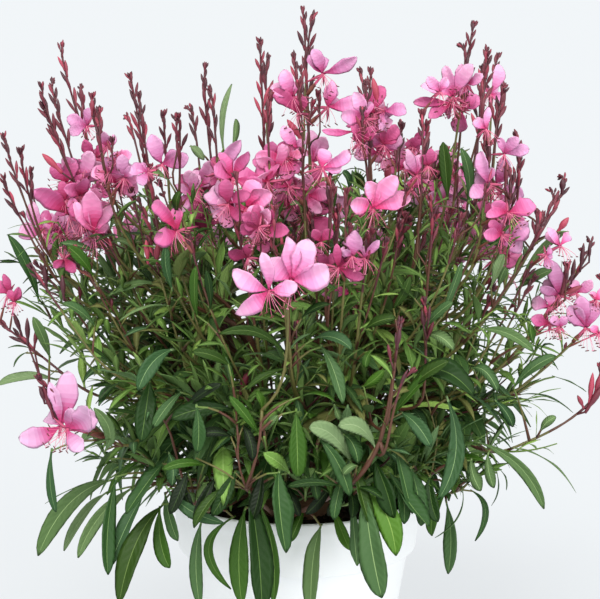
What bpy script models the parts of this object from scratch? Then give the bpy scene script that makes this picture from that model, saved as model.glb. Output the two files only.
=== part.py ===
"""Potted gaura: a bushy butterfly-flower plant in a plain white nursery pot.

Frame: metres, +Z up, origin at the centre of the pot's flat underside. The plant's
front, where the leaf skirt hangs lowest over the collar, faces -Y, and +X is to
the right of someone who looks at that front.

The plant is built as a crown of separate solids. Thirteen tapering stems rise from
a woody root crown through an open heart. Three tiers of leaf masses close that
heart: a skirt that droops outside the pot, a ring of side masses, and a top.
Slender flower spikes stand out of them. Neighbouring masses keep apart because
each is trimmed to its own side of a plane between the two.
"""

import math
import random

import bpy
from mathutils import Vector, noise

# ---------------------------------------------------------------- driving sizes
GAP = 0.0003  # clearance between pieces that meet

# pot
POT_HEIGHT = 0.115
RIM_RADIUS = 0.068
COLLAR_HEIGHT = 0.030
COLLAR_FOOT_RADIUS = 0.065
BODY_TOP_RADIUS = 0.0612
BASE_RADIUS = 0.047
WALL = 0.0022
FLOOR = 0.003
POT_SIDES = 36
DRAIN_HOLES = 6
DRAIN_RING = 0.031
DRAIN_RADIUS = 0.0042

# compost
COMPOST_TOP = 0.105

# root crown, from the flat cut at soil level up to where the stems leave it
CROWN_FLARE = 0.0235
CROWN_NECK = 0.0180
CROWN_TOP = COMPOST_TOP + 0.0095

# stems
STEM_FOOT_RADIUS = 0.0023
STEM_END_RADIUS = 0.0015
STEM_SIDES = 8
STEM_RINGS = 8
HEART = Vector((0.0, 0.0, 0.128))  # the point that the inner faces look at

# leaf masses: tiers of (count, first azimuth, inner axis end (reach, height),
# outer axis end (reach, height), half width, half depth, half height, heart radius)
SKIRT = (7, -90.0, (0.092, 0.140), (0.112, 0.104), 0.053, 0.035, 0.037, 0.060)
SIDE = (7, -64.3, (0.078, 0.176), (0.122, 0.196), 0.060, 0.040, 0.042, 0.060)
TOP = (5, -50.0, (0.052, 0.222), (0.076, 0.250), 0.050, 0.040, 0.038, 0.074)
CAP = (1, 0.0, (0.000, 0.226), (0.001, 0.268), 0.040, 0.040, 0.026, 0.080)
MASS_SIDES = 12
MASS_RINGS = 7
UNEVEN = 0.24  # share by which a mass's surface swells and dips
SQUARENESS = 2.6  # 2 is an egg; more fills a mass's corners

# flower spikes: (azimuth, reach of the tip, height of the tip, length, half width)
# in degrees and millimetres
SPIKES = (
    # the tall middle ones
    (-70.0, 12.0, 374.5, 104.0, 17.0),
    (-140.0, 40.0, 358.0, 92.0, 15.0),
    (-35.0, 52.0, 345.0, 90.0, 17.0),
    (150.0, 66.0, 346.0, 84.0, 15.0),
    (75.0, 42.0, 352.0, 90.0, 15.0),
    # right shoulder
    (-12.0, 96.0, 366.0, 98.0, 17.0),
    (14.0, 108.0, 352.0, 96.0, 16.0),
    (-28.0, 126.0, 312.0, 84.0, 17.0),
    (8.0, 143.0, 290.0, 82.0, 14.0),
    (-12.0, 168.0, 252.0, 86.0, 20.0),
    (-20.0, 172.0, 190.0, 58.0, 12.0),
    # left shoulder
    (-160.0, 96.0, 344.0, 96.0, 16.0),
    (170.0, 122.0, 356.0, 104.0, 16.0),
    (-168.0, 152.0, 308.0, 90.0, 16.0),
    (-163.0, 170.0, 236.0, 66.0, 13.0),
    (-146.0, 150.0, 190.0, 52.0, 16.0),
    # towards the front
    (-92.0, 118.0, 268.0, 66.0, 20.0),
    (-64.0, 122.0, 272.0, 66.0, 18.0),
    (-118.0, 104.0, 306.0, 80.0, 15.0),
    # towards the back
    (112.0, 92.0, 338.0, 94.0, 16.0),
    (52.0, 96.0, 340.0, 94.0, 16.0),
    (136.0, 140.0, 294.0, 88.0, 16.0),
    (96.0, 146.0, 286.0, 88.0, 16.0),
    (44.0, 152.0, 270.0, 84.0, 16.0),
)
SPIKE_SIDES = 8
SPIKE_RINGS = 7
SPIKE_UPRIGHT = 0.30  # how much of its outward lean a spike has lost by its tip

# colours, as linear RGB
WHITE_PLASTIC = (0.86, 0.87, 0.87)
PEAT_BROWN = (0.045, 0.028, 0.018)
BARK_BROWN = (0.10, 0.045, 0.025)
STEM_RED = (0.17, 0.040, 0.035)
LEAF_GREEN = (0.055, 0.130, 0.035)
PETAL_PINK = (0.80, 0.16, 0.38)


# ---------------------------------------------------------------- small helpers
def clear_scene():
    for obj in list(bpy.data.objects):
        bpy.data.objects.remove(obj, do_unlink=True)


def material(name, colour, roughness):
    mat = bpy.data.materials.new(name)
    mat.use_nodes = True
    shader = mat.node_tree.nodes["Principled BSDF"]
    shader.inputs["Base Color"].default_value = (*colour, 1.0)
    shader.inputs["Roughness"].default_value = roughness
    shader.inputs["Metallic"].default_value = 0.0
    mat.diffuse_color = (*colour, 1.0)
    return mat


def add_mesh(name, points, faces, colour, roughness, smooth=False):
    mesh = bpy.data.meshes.new(name)
    mesh.from_pydata([tuple(p) for p in points], [], faces)
    mesh.update()
    if smooth:
        mesh.shade_smooth()
        mesh.set_sharp_from_angle(angle=math.radians(40))
    obj = bpy.data.objects.new(name, mesh)
    obj.data.materials.append(material(name, colour, roughness))
    bpy.context.scene.collection.objects.link(obj)
    return obj


def polar(azimuth, reach, height):
    """A point from its bearing in degrees, its distance from the axis and its height."""
    turn = math.radians(azimuth)
    return Vector((reach * math.cos(turn), reach * math.sin(turn), height))


def grid_faces(rings, sides):
    """Faces of a tube of rings, closed by a pole before the first and one after the last.

    Point 0 is the first pole and the last point the other one.
    """
    faces = []
    last = 1 + rings * sides
    for i in range(sides):
        j = (i + 1) % sides
        faces.append((0, 1 + j, 1 + i))
        faces.append((last, last - sides + i, last - sides + j))
    for k in range(rings - 1):
        for i in range(sides):
            j = (i + 1) % sides
            low, high = 1 + k * sides, 1 + (k + 1) * sides
            faces.append((low + i, low + j, high + j, high + i))
    return faces


def turned(name, profile, sides, colour, roughness):
    """A solid turned about Z: the profile runs round it from the axis to the axis, lowest first."""
    points = [Vector((0, 0, profile[0][1]))]
    for reach, height in profile[1:-1]:
        points += [polar(360.0 * i / sides, reach, height) for i in range(sides)]
    points.append(Vector((0, 0, profile[-1][1])))
    return add_mesh(name, points, grid_faces(len(profile) - 2, sides), colour, roughness, smooth=True)


# ---------------------------------------------------------------- pot and soil
def pot_outside():
    foot = POT_HEIGHT - COLLAR_HEIGHT
    return [
        (0.0, 0.0),
        (BASE_RADIUS - 0.0012, 0.0),
        (BASE_RADIUS, 0.0012),
        (BODY_TOP_RADIUS, foot - 0.0006),
        (COLLAR_FOOT_RADIUS - 0.0008, foot),
        (COLLAR_FOOT_RADIUS, foot + 0.0009),
        (RIM_RADIUS, POT_HEIGHT - 0.0012),
        (RIM_RADIUS - 0.0007, POT_HEIGHT),
    ]


def pot_inside():
    foot = POT_HEIGHT - COLLAR_HEIGHT
    return [
        (RIM_RADIUS - WALL, POT_HEIGHT - 0.0004),
        (COLLAR_FOOT_RADIUS - WALL, foot + WALL + 0.0004),
        (BODY_TOP_RADIUS - WALL, foot - 0.0004),
        (BASE_RADIUS - WALL, FLOOR + 0.0012),
        (BASE_RADIUS - WALL - 0.0012, FLOOR),
        (0.0, FLOOR),
    ]


def build_pot():
    pot = turned("pot", pot_outside() + pot_inside(), POT_SIDES, WHITE_PLASTIC, 0.45)
    points, faces = [], []
    sides = 12
    for hole in range(DRAIN_HOLES):
        middle = polar(360.0 * (hole + 0.5) / DRAIN_HOLES, DRAIN_RING, 0.0)
        start = len(points)
        points.append(middle + Vector((0, 0, -0.004)))
        for height in (-0.004, FLOOR + 0.004):
            points += [middle + polar(360.0 * i / sides, DRAIN_RADIUS, height) for i in range(sides)]
        points.append(middle + Vector((0, 0, FLOOR + 0.004)))
        faces += [tuple(start + v for v in face) for face in grid_faces(2, sides)]
    cutter = add_mesh("drain_cutters", points, faces, WHITE_PLASTIC, 0.45)
    cutter.hide_render = True
    cutter.display_type = "WIRE"
    cut = pot.modifiers.new("drain_holes", "BOOLEAN")
    cut.operation = "DIFFERENCE"
    cut.object = cutter


def build_compost():
    slack = 0.0004
    foot = POT_HEIGHT - COLLAR_HEIGHT
    rise = (COMPOST_TOP - foot) / COLLAR_HEIGHT
    edge = COLLAR_FOOT_RADIUS + rise * (RIM_RADIUS - COLLAR_FOOT_RADIUS) - WALL - slack - 0.0002
    profile = [
        (0.0, FLOOR + slack),
        (BASE_RADIUS - WALL - 0.0012 - slack, FLOOR + slack),
        (BASE_RADIUS - WALL - slack, FLOOR + 0.0012 + slack),
        (BODY_TOP_RADIUS - WALL - slack, foot - 0.0004),
        (COLLAR_FOOT_RADIUS - WALL - slack - 0.0002, foot + WALL + 0.0010),
        (edge, COMPOST_TOP - 0.0012),
        (edge - 0.0015, COMPOST_TOP),
        (CROWN_FLARE + 0.004, COMPOST_TOP),
        (0.0, COMPOST_TOP),
    ]
    turned("compost", profile, POT_SIDES, PEAT_BROWN, 0.95)


def build_root_crown():
    """A knuckled disc of old wood: flat underneath, flared at the soil, flat where the stems start."""
    sides = 18
    profile = (
        (CROWN_FLARE, COMPOST_TOP + GAP),
        (CROWN_FLARE * 0.93, COMPOST_TOP + GAP + 0.0022),
        (CROWN_NECK * 1.06, COMPOST_TOP + GAP + 0.0050),
        (CROWN_NECK, CROWN_TOP - 0.0010),
        (CROWN_NECK - 0.0010, CROWN_TOP),
    )
    points = [Vector((0, 0, profile[0][1]))]
    for row, (reach, height) in enumerate(profile):
        lobes = 0.075 * max(0.0, 1.0 - row / 3.0)
        for i in range(sides):
            bearing = 360.0 * i / sides
            swell = 1.0 + lobes * math.sin(math.radians(5 * bearing))
            points.append(polar(bearing, reach * swell, height))
    points.append(Vector((0, 0, CROWN_TOP)))
    add_mesh("root_crown", points, grid_faces(len(profile), sides), BARK_BROWN, 0.85, smooth=True)


# ---------------------------------------------------------------- the crown
class Mass:
    """A closed uneven body swept about the straight axis from low to high.

    size is its half extent along (side, out, up), where out is its bearing. Each
    point of its skin lies on its own ray from the axis, so that a skin drawn in
    along those rays never crosses itself.
    """

    def __init__(self, name, low, high, size, bearing, spike, seed):
        self.name, self.low, self.high = name, low, high
        self.size, self.spike, self.seed = size, spike, seed
        self.out = polar(bearing, 1.0, 0.0)
        self.side = Vector((-self.out.y, self.out.x, 0.0))
        self.up = Vector((0, 0, 1))
        self.planes = []  # (outward normal, furthest distance along it)

    def girth(self):
        return self.size[0] if self.spike else sum(self.size) / 3

    def skin(self):
        """(axis point, offset from it) for each point of the skin, poles included."""
        along = (self.high - self.low).normalized()
        if self.spike:
            across = along.cross(self.side).normalized()
            frame = (self.side, across)
        found = []
        rings, sides = (SPIKE_RINGS, SPIKE_SIDES) if self.spike else (MASS_RINGS, MASS_SIDES)
        for k in range(rings + 2):
            share = k / (rings + 1)
            lift = math.pi * (share - 0.5)
            root = self.low.lerp(self.high, share)
            turns = 1 if k in (0, rings + 1) else sides
            for i in range(turns):
                turn = 2 * math.pi * i / sides + 0.35 * self.seed
                if self.spike:
                    wide = 0.34 + 0.80 * math.exp(-(((share - 0.36) / 0.24) ** 2))
                    flat = (frame[0] * math.cos(turn) + frame[1] * math.sin(turn)) * math.cos(lift) * wide
                    offset = flat * self.size[0] + along * math.sin(lift) * 0.004
                else:
                    sphere = self.dome(along, lift, turn)
                    offset = (
                        self.side * sphere.dot(self.side) * self.size[0]
                        + self.out * sphere.dot(self.out) * self.size[1]
                        + self.up * sphere.dot(self.up) * self.size[2]
                    )
                where = (root + offset) * 34.0 + Vector((self.seed * 3.7, 0, 0))
                amount = 1.0 + UNEVEN * (1.1 if self.spike else 1.0) * noise.noise(where)
                found.append((root, offset * amount))
        return found

    def dome(self, along, lift, turn):
        """A point of a squarish unit ball: lift is its latitude about the axis and turn its longitude."""
        first = along.cross(self.side).normalized()
        second = along.cross(first).normalized()
        flat = first * math.cos(turn) + second * math.sin(turn)
        ball = flat * math.cos(lift) + along * math.sin(lift)
        parts = (ball.dot(self.side), ball.dot(self.out), ball.dot(self.up))
        return ball / sum(abs(p) ** SQUARENESS for p in parts) ** (1 / SQUARENESS)

    def build(self):
        points = []
        for root, offset in self.skin():
            share = 1.0
            for normal, limit in self.planes:
                reach = normal.dot(offset)
                room = limit - normal.dot(root)
                if reach > 1e-9:
                    share = min(share, max(room, 0.0004) / reach)
            points.append(root + offset * share)
        rings, sides = (SPIKE_RINGS, SPIKE_SIDES) if self.spike else (MASS_RINGS, MASS_SIDES)
        faces = grid_faces(rings, sides)
        turned_in = signed_volume(points, faces) < 0
        if turned_in:
            faces = [tuple(reversed(face)) for face in faces]
        colour = PETAL_PINK if self.spike else LEAF_GREEN
        add_mesh(self.name, points, faces, colour, 0.7)


def signed_volume(points, faces):
    total = 0.0
    for face in faces:
        for i in range(1, len(face) - 1):
            a, b, c = points[face[0]], points[face[i]], points[face[i + 1]]
            total += a.dot(b.cross(c))
    return total


def nearest_between(p1, q1, p2, q2):
    """The nearest points of two straight segments."""
    d1, d2, r = q1 - p1, q2 - p2, p1 - p2
    a, e, f = d1.dot(d1), d2.dot(d2), d2.dot(r)
    c, b = d1.dot(r), d1.dot(d2)
    denominator = a * e - b * b
    s = min(max((b * f - c * e) / denominator, 0.0), 1.0) if denominator > 1e-12 else 0.0
    t = (b * s + f) / e
    if t < 0.0:
        t, s = 0.0, min(max(-c / a, 0.0), 1.0)
    elif t > 1.0:
        t, s = 1.0, min(max((b - c) / a, 0.0), 1.0)
    return p1 + d1 * s, p2 + d2 * t


def part_two(one, other):
    """Gives each of two masses its side of a plane between their axes, nearer the thinner one."""
    here, there = nearest_between(one.low, one.high, other.low, other.high)
    away = there - here
    reach = away.length
    away.normalize()
    split = here + away * reach * one.girth() / (one.girth() + other.girth())
    middle = away.dot(split)
    one.planes.append((away, middle - GAP * 0.7))
    other.planes.append((-away, -middle - GAP * 0.7))


def tier(name, count, first, low, high, wide, deep, tall, heart, dice):
    """The masses of one tier, evenly spread with a little scatter, and each one's heart radius."""
    found = []
    for i in range(count):
        bearing = first + 360.0 * i / count + dice.uniform(-3.0, 3.0)
        shift = dice.uniform(-0.004, 0.004)
        drop = dice.uniform(-0.005, 0.004)
        start = polar(bearing, low[0] + 0.3 * shift, low[1] + 0.4 * drop)
        end = polar(bearing, high[0] + shift, high[1] + drop)
        size = (wide, deep, tall)
        label = f"{name}_{i + 1}" if count > 1 else name
        found.append((Mass(label, start, end, size, bearing, False, dice.randint(1, 40)), heart))
    return found


def heart_plane(mass, heart):
    """Keeps a leaf mass outside the open heart, and returns the direction of the stem that feeds it."""
    near, _ = nearest_between(mass.low, mass.high, HEART, HEART + Vector((0, 0, 1e-5)))
    away = (near - HEART).normalized()
    mass.planes.append((-away, -(away.dot(HEART) + heart)))
    return away


def rim_planes(mass, outside):
    """Keeps a mass clear of the pot: a skirt mass stays beyond the rim, and the others above it."""
    if outside:
        mass.planes.append((-mass.out, -(RIM_RADIUS + 0.0012)))
    else:
        mass.planes.append((-mass.up, -(POT_HEIGHT + 0.004)))


def build_stem(name, foot_bearing, foot_reach, end, away, dice):
    """A tapering stem from its flat foot on the root crown, curving into the mass at its end."""
    foot = polar(foot_bearing, foot_reach, CROWN_TOP + GAP)
    length = (end - foot).length
    rise = Vector((0.35 * away.x, 0.35 * away.y, 1.0)).normalized()
    first = foot + rise * length * 0.36
    second = end - away * length * 0.30
    second += Vector((dice.uniform(-1, 1), dice.uniform(-1, 1), 0)) * 0.0012
    points = []
    flat = Vector((math.cos(math.radians(foot_bearing)), math.sin(math.radians(foot_bearing)), 0))
    for k in range(STEM_RINGS):
        t = k / (STEM_RINGS - 1)
        a, b, c, d = (1 - t) ** 3, 3 * t * (1 - t) ** 2, 3 * t * t * (1 - t), t**3
        middle = foot * a + first * b + second * c + end * d
        slope = (
            (first - foot) * 3 * (1 - t) ** 2 + (second - first) * 6 * t * (1 - t) + (end - second) * 3 * t * t
        ).normalized()
        if k == 0:
            slope = Vector((0, 0, 1))
        across = (flat - slope * flat.dot(slope)).normalized()
        other = slope.cross(across)
        radius = STEM_FOOT_RADIUS + (STEM_END_RADIUS - STEM_FOOT_RADIUS) * t**0.8
        if k == 0:
            points.append(middle)
        for i in range(STEM_SIDES):
            turn = 2 * math.pi * i / STEM_SIDES
            points.append(middle + (across * math.cos(turn) + other * math.sin(turn)) * radius)
    points.append(end)
    faces = grid_faces(STEM_RINGS, STEM_SIDES)
    if signed_volume(points, faces) < 0:
        faces = [tuple(reversed(face)) for face in faces]
    add_mesh(name, points, faces, STEM_RED, 0.6, smooth=True)


def build_crown():
    dice = random.Random(417)
    skirt = tier("skirt_leaves", *SKIRT, dice)
    side = tier("side_leaves", *SIDE, dice)
    top = tier("top_leaves", *TOP, dice)
    cap = tier("crown_leaves", *CAP, dice)
    leafy = skirt + side + top + cap

    spikes = []
    for number, (bearing, reach, height, length, width) in enumerate(SPIKES, 1):
        tip = polar(bearing, reach / 1000, height / 1000)
        lean = math.atan2(reach, height - 1000 * HEART.z) * (1.0 - SPIKE_UPRIGHT)
        back = polar(bearing, math.sin(lean), math.cos(lean)) * (length / 1000)
        high = tip - back.normalized() * 0.003
        low = tip - back
        size = (width / 1000,) * 3
        spikes.append(Mass(f"flower_spike_{number}", low, high, size, bearing, True, number))

    masses = [mass for mass, _ in leafy] + spikes
    for i, one in enumerate(masses):
        for other in masses[i + 1 :]:
            part_two(one, other)
    feeds = []
    for mass, heart in leafy:
        rim_planes(mass, mass.name.startswith("skirt"))
        feeds.append((mass, heart, heart_plane(mass, heart)))
    for mass in spikes:
        mass.planes.append((-mass.out, 0.0)) if mass.low.xy.length > 0.03 else None
    for mass in masses:
        mass.build()

    # a stem for each side mass, each top mass and the crown's middle
    number = 0
    for mass, heart, away in feeds:
        if mass.name.startswith("skirt"):
            continue
        number += 1
        end = HEART + away * (heart - 2 * GAP)
        bearing = math.degrees(math.atan2(mass.out.y, mass.out.x))
        if mass.name.startswith("side"):
            reach = CROWN_NECK - 0.0045
        elif mass.name.startswith("top"):
            reach = 0.0070
        else:
            reach = 0.0
        build_stem(f"stem_{number}", bearing, reach, end, away, dice)


clear_scene()
build_pot()
build_compost()
build_root_crown()
build_crown()
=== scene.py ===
import math
import random

import bpy
import numpy as np
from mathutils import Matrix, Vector, noise


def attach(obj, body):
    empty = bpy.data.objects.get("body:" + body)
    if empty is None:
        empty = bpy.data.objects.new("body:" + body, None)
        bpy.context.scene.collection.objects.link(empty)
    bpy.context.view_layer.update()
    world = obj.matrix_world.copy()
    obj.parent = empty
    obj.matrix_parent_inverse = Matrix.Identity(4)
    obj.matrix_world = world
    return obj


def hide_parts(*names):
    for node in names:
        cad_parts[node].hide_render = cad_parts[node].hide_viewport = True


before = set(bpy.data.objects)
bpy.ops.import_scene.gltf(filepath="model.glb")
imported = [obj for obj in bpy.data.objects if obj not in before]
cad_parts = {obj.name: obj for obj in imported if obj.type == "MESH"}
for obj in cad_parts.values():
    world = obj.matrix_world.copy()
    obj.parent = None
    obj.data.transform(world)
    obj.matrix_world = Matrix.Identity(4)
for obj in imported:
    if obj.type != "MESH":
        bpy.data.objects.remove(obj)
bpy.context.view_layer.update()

# ------------------------------------------------------------------ the camera
# One pixel of the 600 x 599 frame is 0.54 mm at the pot's axis.
DISTANCE = 1.08
FOCAL_PX = 2004.0
PITCH = math.radians(10.2)
TARGET = np.array([0.0016, 0.0, 0.2207])
FORWARD = np.array([0.0, math.cos(PITCH), -math.sin(PITCH)])
UPWARD = np.array([0.0, math.sin(PITCH), math.cos(PITCH)])
RIGHT = np.array([1.0, 0.0, 0.0])
EYE = TARGET - FORWARD * DISTANCE
Z = np.array([0.0, 0.0, 1.0])


def spot(u, v, y):
    """The point at depth y that stands at pixel (u, v) of the frame."""
    ray = FORWARD + (u - 300.0) / FOCAL_PX * RIGHT + (299.5 - v) / FOCAL_PX * UPWARD
    return EYE + ray * ((y - EYE[1]) / ray[1])


def pixel(p):
    r = np.asarray(p) - EYE
    depth = r @ FORWARD
    return 300.0 + FOCAL_PX * (r @ RIGHT) / depth, 299.5 - FOCAL_PX * (r @ UPWARD) / depth


def unit(v):
    v = np.asarray(v, float)
    n = math.sqrt(float(v @ v))
    return v / n if n > 1e-12 else np.array([0.0, 0.0, 1.0])


def place_camera():
    data = bpy.data.cameras.new("photo_camera")
    data.sensor_fit = "HORIZONTAL"
    data.sensor_width = 36.0
    data.lens = FOCAL_PX / 600.0 * 36.0
    data.clip_start, data.clip_end = 0.05, 200.0
    cam = bpy.data.objects.new("photo_camera", data)
    cam.location = Vector(EYE)
    cam.rotation_euler = (math.radians(90.0) - PITCH, 0.0, 0.0)
    bpy.context.scene.collection.objects.link(cam)
    bpy.context.scene.camera = cam


# ------------------------------------------------------------------ materials
def srgb(r, g, b):
    def lin(c):
        c /= 255.0
        return c / 12.92 if c <= 0.04045 else ((c + 0.055) / 1.055) ** 2.4

    return (lin(r), lin(g), lin(b), 1.0)


def shader_of(name, colour, rough):
    mat = bpy.data.materials.new(name)
    mat.use_nodes = True
    bsdf = mat.node_tree.nodes["Principled BSDF"]
    bsdf.inputs["Base Color"].default_value = colour
    bsdf.inputs["Roughness"].default_value = rough
    return mat, mat.node_tree.nodes, mat.node_tree.links, bsdf


def ranged(nodes, links, source, low, high):
    to = nodes.new("ShaderNodeMapRange")
    to.inputs["To Min"].default_value = low
    to.inputs["To Max"].default_value = high
    links.new(source, to.inputs["Value"])
    return to.outputs["Result"]


def noise_of(nodes, links, scale, detail=3.0, rough=0.55):
    where = nodes.new("ShaderNodeTexCoord")
    tex = nodes.new("ShaderNodeTexNoise")
    tex.inputs["Scale"].default_value = scale
    tex.inputs["Detail"].default_value = detail
    tex.inputs["Roughness"].default_value = rough
    links.new(where.outputs["Object"], tex.inputs["Vector"])
    return tex.outputs["Fac"]


def bump_of(nodes, links, bsdf, height, strength, distance):
    bump = nodes.new("ShaderNodeBump")
    bump.inputs["Strength"].default_value = strength
    bump.inputs["Distance"].default_value = distance
    links.new(height, bump.inputs["Height"])
    links.new(bump.outputs["Normal"], bsdf.inputs["Normal"])


def skin(name, rgb, rough=(0.45, 0.65), scale=900.0, strength=0.25, distance=0.00015, sheen=0.0, specular=0.5):
    """A plant surface: its own colour, with fine relief and an uneven gloss."""
    mat, nodes, links, bsdf = shader_of(name, srgb(*rgb), sum(rough) / 2)
    grain = noise_of(nodes, links, scale)
    links.new(ranged(nodes, links, grain, *rough), bsdf.inputs["Roughness"])
    bump_of(nodes, links, bsdf, grain, strength, distance)
    bsdf.inputs["Sheen Weight"].default_value = sheen
    bsdf.inputs["Specular IOR Level"].default_value = specular
    return mat


def veined(name, rgb, rough, waves, strength, distance, sheen=0.0, specular=0.5):
    """A blade's surface: veins that run forward from the midrib, over a fine grain."""
    mat, nodes, links, bsdf = shader_of(name, srgb(*rgb), sum(rough) / 2)
    grain = noise_of(nodes, links, 1400.0)
    links.new(ranged(nodes, links, grain, *rough), bsdf.inputs["Roughness"])
    where = nodes.new("ShaderNodeUVMap")
    where.uv_map = "blade"
    split = nodes.new("ShaderNodeSeparateXYZ")
    links.new(where.outputs["UV"], split.inputs["Vector"])

    def maths(kind, a, b=None):
        node = nodes.new("ShaderNodeMath")
        node.operation = kind
        for socket, value in zip(node.inputs, (a, b), strict=False):
            if value is None:
                continue
            if isinstance(value, (int, float)):
                socket.default_value = value
            else:
                links.new(value, socket)
        return node.outputs["Value"]

    aside = maths("ABSOLUTE", maths("SUBTRACT", split.outputs["Y"], 0.5))
    run = maths("SUBTRACT", maths("MULTIPLY", split.outputs["X"], waves), maths("MULTIPLY", aside, waves * 0.32))
    vein = maths("MULTIPLY", maths("SINE", run), 0.6)
    bump_of(nodes, links, bsdf, maths("ADD", vein, grain), strength, distance)
    bsdf.inputs["Sheen Weight"].default_value = sheen
    bsdf.inputs["Specular IOR Level"].default_value = specular
    return mat


# leaf tones: (name, upper side, under side, midrib)
LEAF_TONES = (
    ("deep", (54, 84, 40), (88, 116, 64), (96, 124, 64)),
    ("blue", (64, 98, 58), (98, 128, 82), (134, 164, 116)),
    ("mid", (88, 122, 54), (106, 136, 72), (130, 158, 90)),
    ("fresh", (112, 150, 68), (122, 154, 84), (152, 184, 106)),
    ("grass", (138, 172, 82), (140, 170, 94), (168, 198, 114)),
    ("olive", (110, 114, 62), (114, 130, 74), (136, 144, 84)),
    # The near-black night tone is painted shade: it darkens leaves set where the crown lies in deep shade.
    ("painted_shade", (16, 32, 8), (52, 76, 38), (60, 84, 40)),
    ("pine", (26, 56, 11), (66, 92, 44), (86, 114, 56)),
    ("moss", (43, 70, 14), (78, 104, 52), (100, 124, 64)),
    ("fern", (46, 80, 36), (80, 110, 62), (116, 144, 86)),
    ("lush", (54, 91, 22), (84, 116, 56), (114, 144, 74)),
    ("teal", (54, 88, 50), (86, 116, 72), (128, 158, 106)),
    ("sage", (66, 98, 54), (94, 122, 74), (134, 160, 106)),
    ("spring", (78, 120, 36), (102, 136, 62), (130, 162, 80)),
    ("dust", (84, 112, 64), (104, 132, 82), (140, 166, 110)),
    ("pale", (100, 128, 78), (114, 142, 90), (150, 176, 118)),
    ("hoar", (118, 143, 97), (124, 148, 102), (146, 168, 122)),
)
TONE = {row[0]: i for i, row in enumerate(LEAF_TONES)}


def leaf_materials():
    found = []
    for name, top, under, rib in LEAF_TONES:
        found.append(veined(f"leaf_{name}", top, (0.42, 0.62), 70.0, 0.40, 0.00024, specular=0.24))
        found.append(veined(f"leaf_{name}_under", under, (0.60, 0.80), 70.0, 0.45, 0.00025, specular=0.15))
        found.append(skin(f"leaf_{name}_midrib", rib, (0.50, 0.70), specular=0.18))
    return found


# petal tones: the claw, the body, the edge and the back; eight bands run from the claw to the edge
PETAL_TONES = (
    ("bright", (198, 44, 102), (236, 124, 178), (246, 170, 210), (230, 144, 188)),
    ("pale", (196, 58, 116), (222, 134, 186), (238, 180, 214), (224, 156, 198)),
    ("rose", (174, 34, 84), (202, 84, 140), (222, 126, 176), (198, 104, 152)),
    ("warm", (150, 26, 72), (176, 60, 110), (200, 96, 144), (178, 78, 128)),
    ("lilac", (172, 58, 112), (202, 126, 174), (226, 166, 206), (206, 144, 186)),
    ("deep", (120, 18, 58), (142, 40, 84), (170, 70, 116), (148, 54, 100)),
    ("blush", (196, 62, 120), (204, 140, 182), (224, 180, 212), (214, 162, 200)),
)
PETAL = {row[0]: i for i, row in enumerate(PETAL_TONES)}
BANDS = 8


def petal_materials():
    found = []
    for name, claw, body, edge, back in PETAL_TONES:
        for i in range(BANDS):
            f = i / (BANDS - 1)
            a, b, g = (claw, body, f * 2) if f < 0.5 else (body, edge, f * 2 - 1)
            rgb = tuple(a[k] + (b[k] - a[k]) * g for k in range(3))
            found.append(veined(f"petal_{name}_{i + 1}", rgb, (0.50, 0.72), 40.0, 0.34, 0.00018, sheen=0.10, specular=0.26))
        found.append(veined(f"petal_{name}_back", back, (0.55, 0.75), 40.0, 0.22, 0.00014, sheen=0.08, specular=0.25))
    return found


# ------------------------------------------------------------------ mesh store
class Store:
    """Points and faces of many small things, joined into one piece with its own slots."""

    def __init__(self, name, mats):
        self.name, self.mats = name, mats
        self.points, self.faces, self.slots, self.uvs = [], [], [], []
        self.count = 0
        self.triangles = 0

    def add(self, points, faces, slots, uv=None):
        points = np.asarray(points, float)
        faces = np.asarray(faces, int)
        self.points.append(points)
        self.faces.append(faces + self.count)
        self.slots.append(np.broadcast_to(np.asarray(slots, int), (len(faces),)))
        self.uvs.append(np.zeros((len(points), 2)) if uv is None else uv)
        self.count += len(points)
        self.triangles += len(faces) * (2 if faces.shape[1] == 4 else 1)

    def build(self, with_uv=True):
        points = np.concatenate(self.points)
        uv = np.concatenate(self.uvs)
        total = np.concatenate([np.full(len(f), f.shape[1]) for f in self.faces])
        loops = np.concatenate([f.ravel() for f in self.faces])
        start = np.concatenate([[0], np.cumsum(total)[:-1]])
        mesh = bpy.data.meshes.new(self.name)
        mesh.vertices.add(len(points))
        mesh.vertices.foreach_set("co", points.astype(np.float32).ravel())
        mesh.loops.add(len(loops))
        mesh.loops.foreach_set("vertex_index", loops.astype(np.int32))
        mesh.polygons.add(len(total))
        mesh.polygons.foreach_set("loop_start", start.astype(np.int32))
        mesh.polygons.foreach_set("material_index", np.concatenate(self.slots).astype(np.int32))
        mesh.polygons.foreach_set("use_smooth", np.ones(len(total), bool))
        if with_uv:
            layer = mesh.uv_layers.new(name="blade")
            layer.data.foreach_set("uv", uv[loops].astype(np.float32).ravel())
        mesh.update(calc_edges=True)
        mesh.validate()
        obj = bpy.data.objects.new(self.name, mesh)
        for mat in self.mats:
            obj.data.materials.append(mat)
        bpy.context.scene.collection.objects.link(obj)
        return obj


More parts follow.
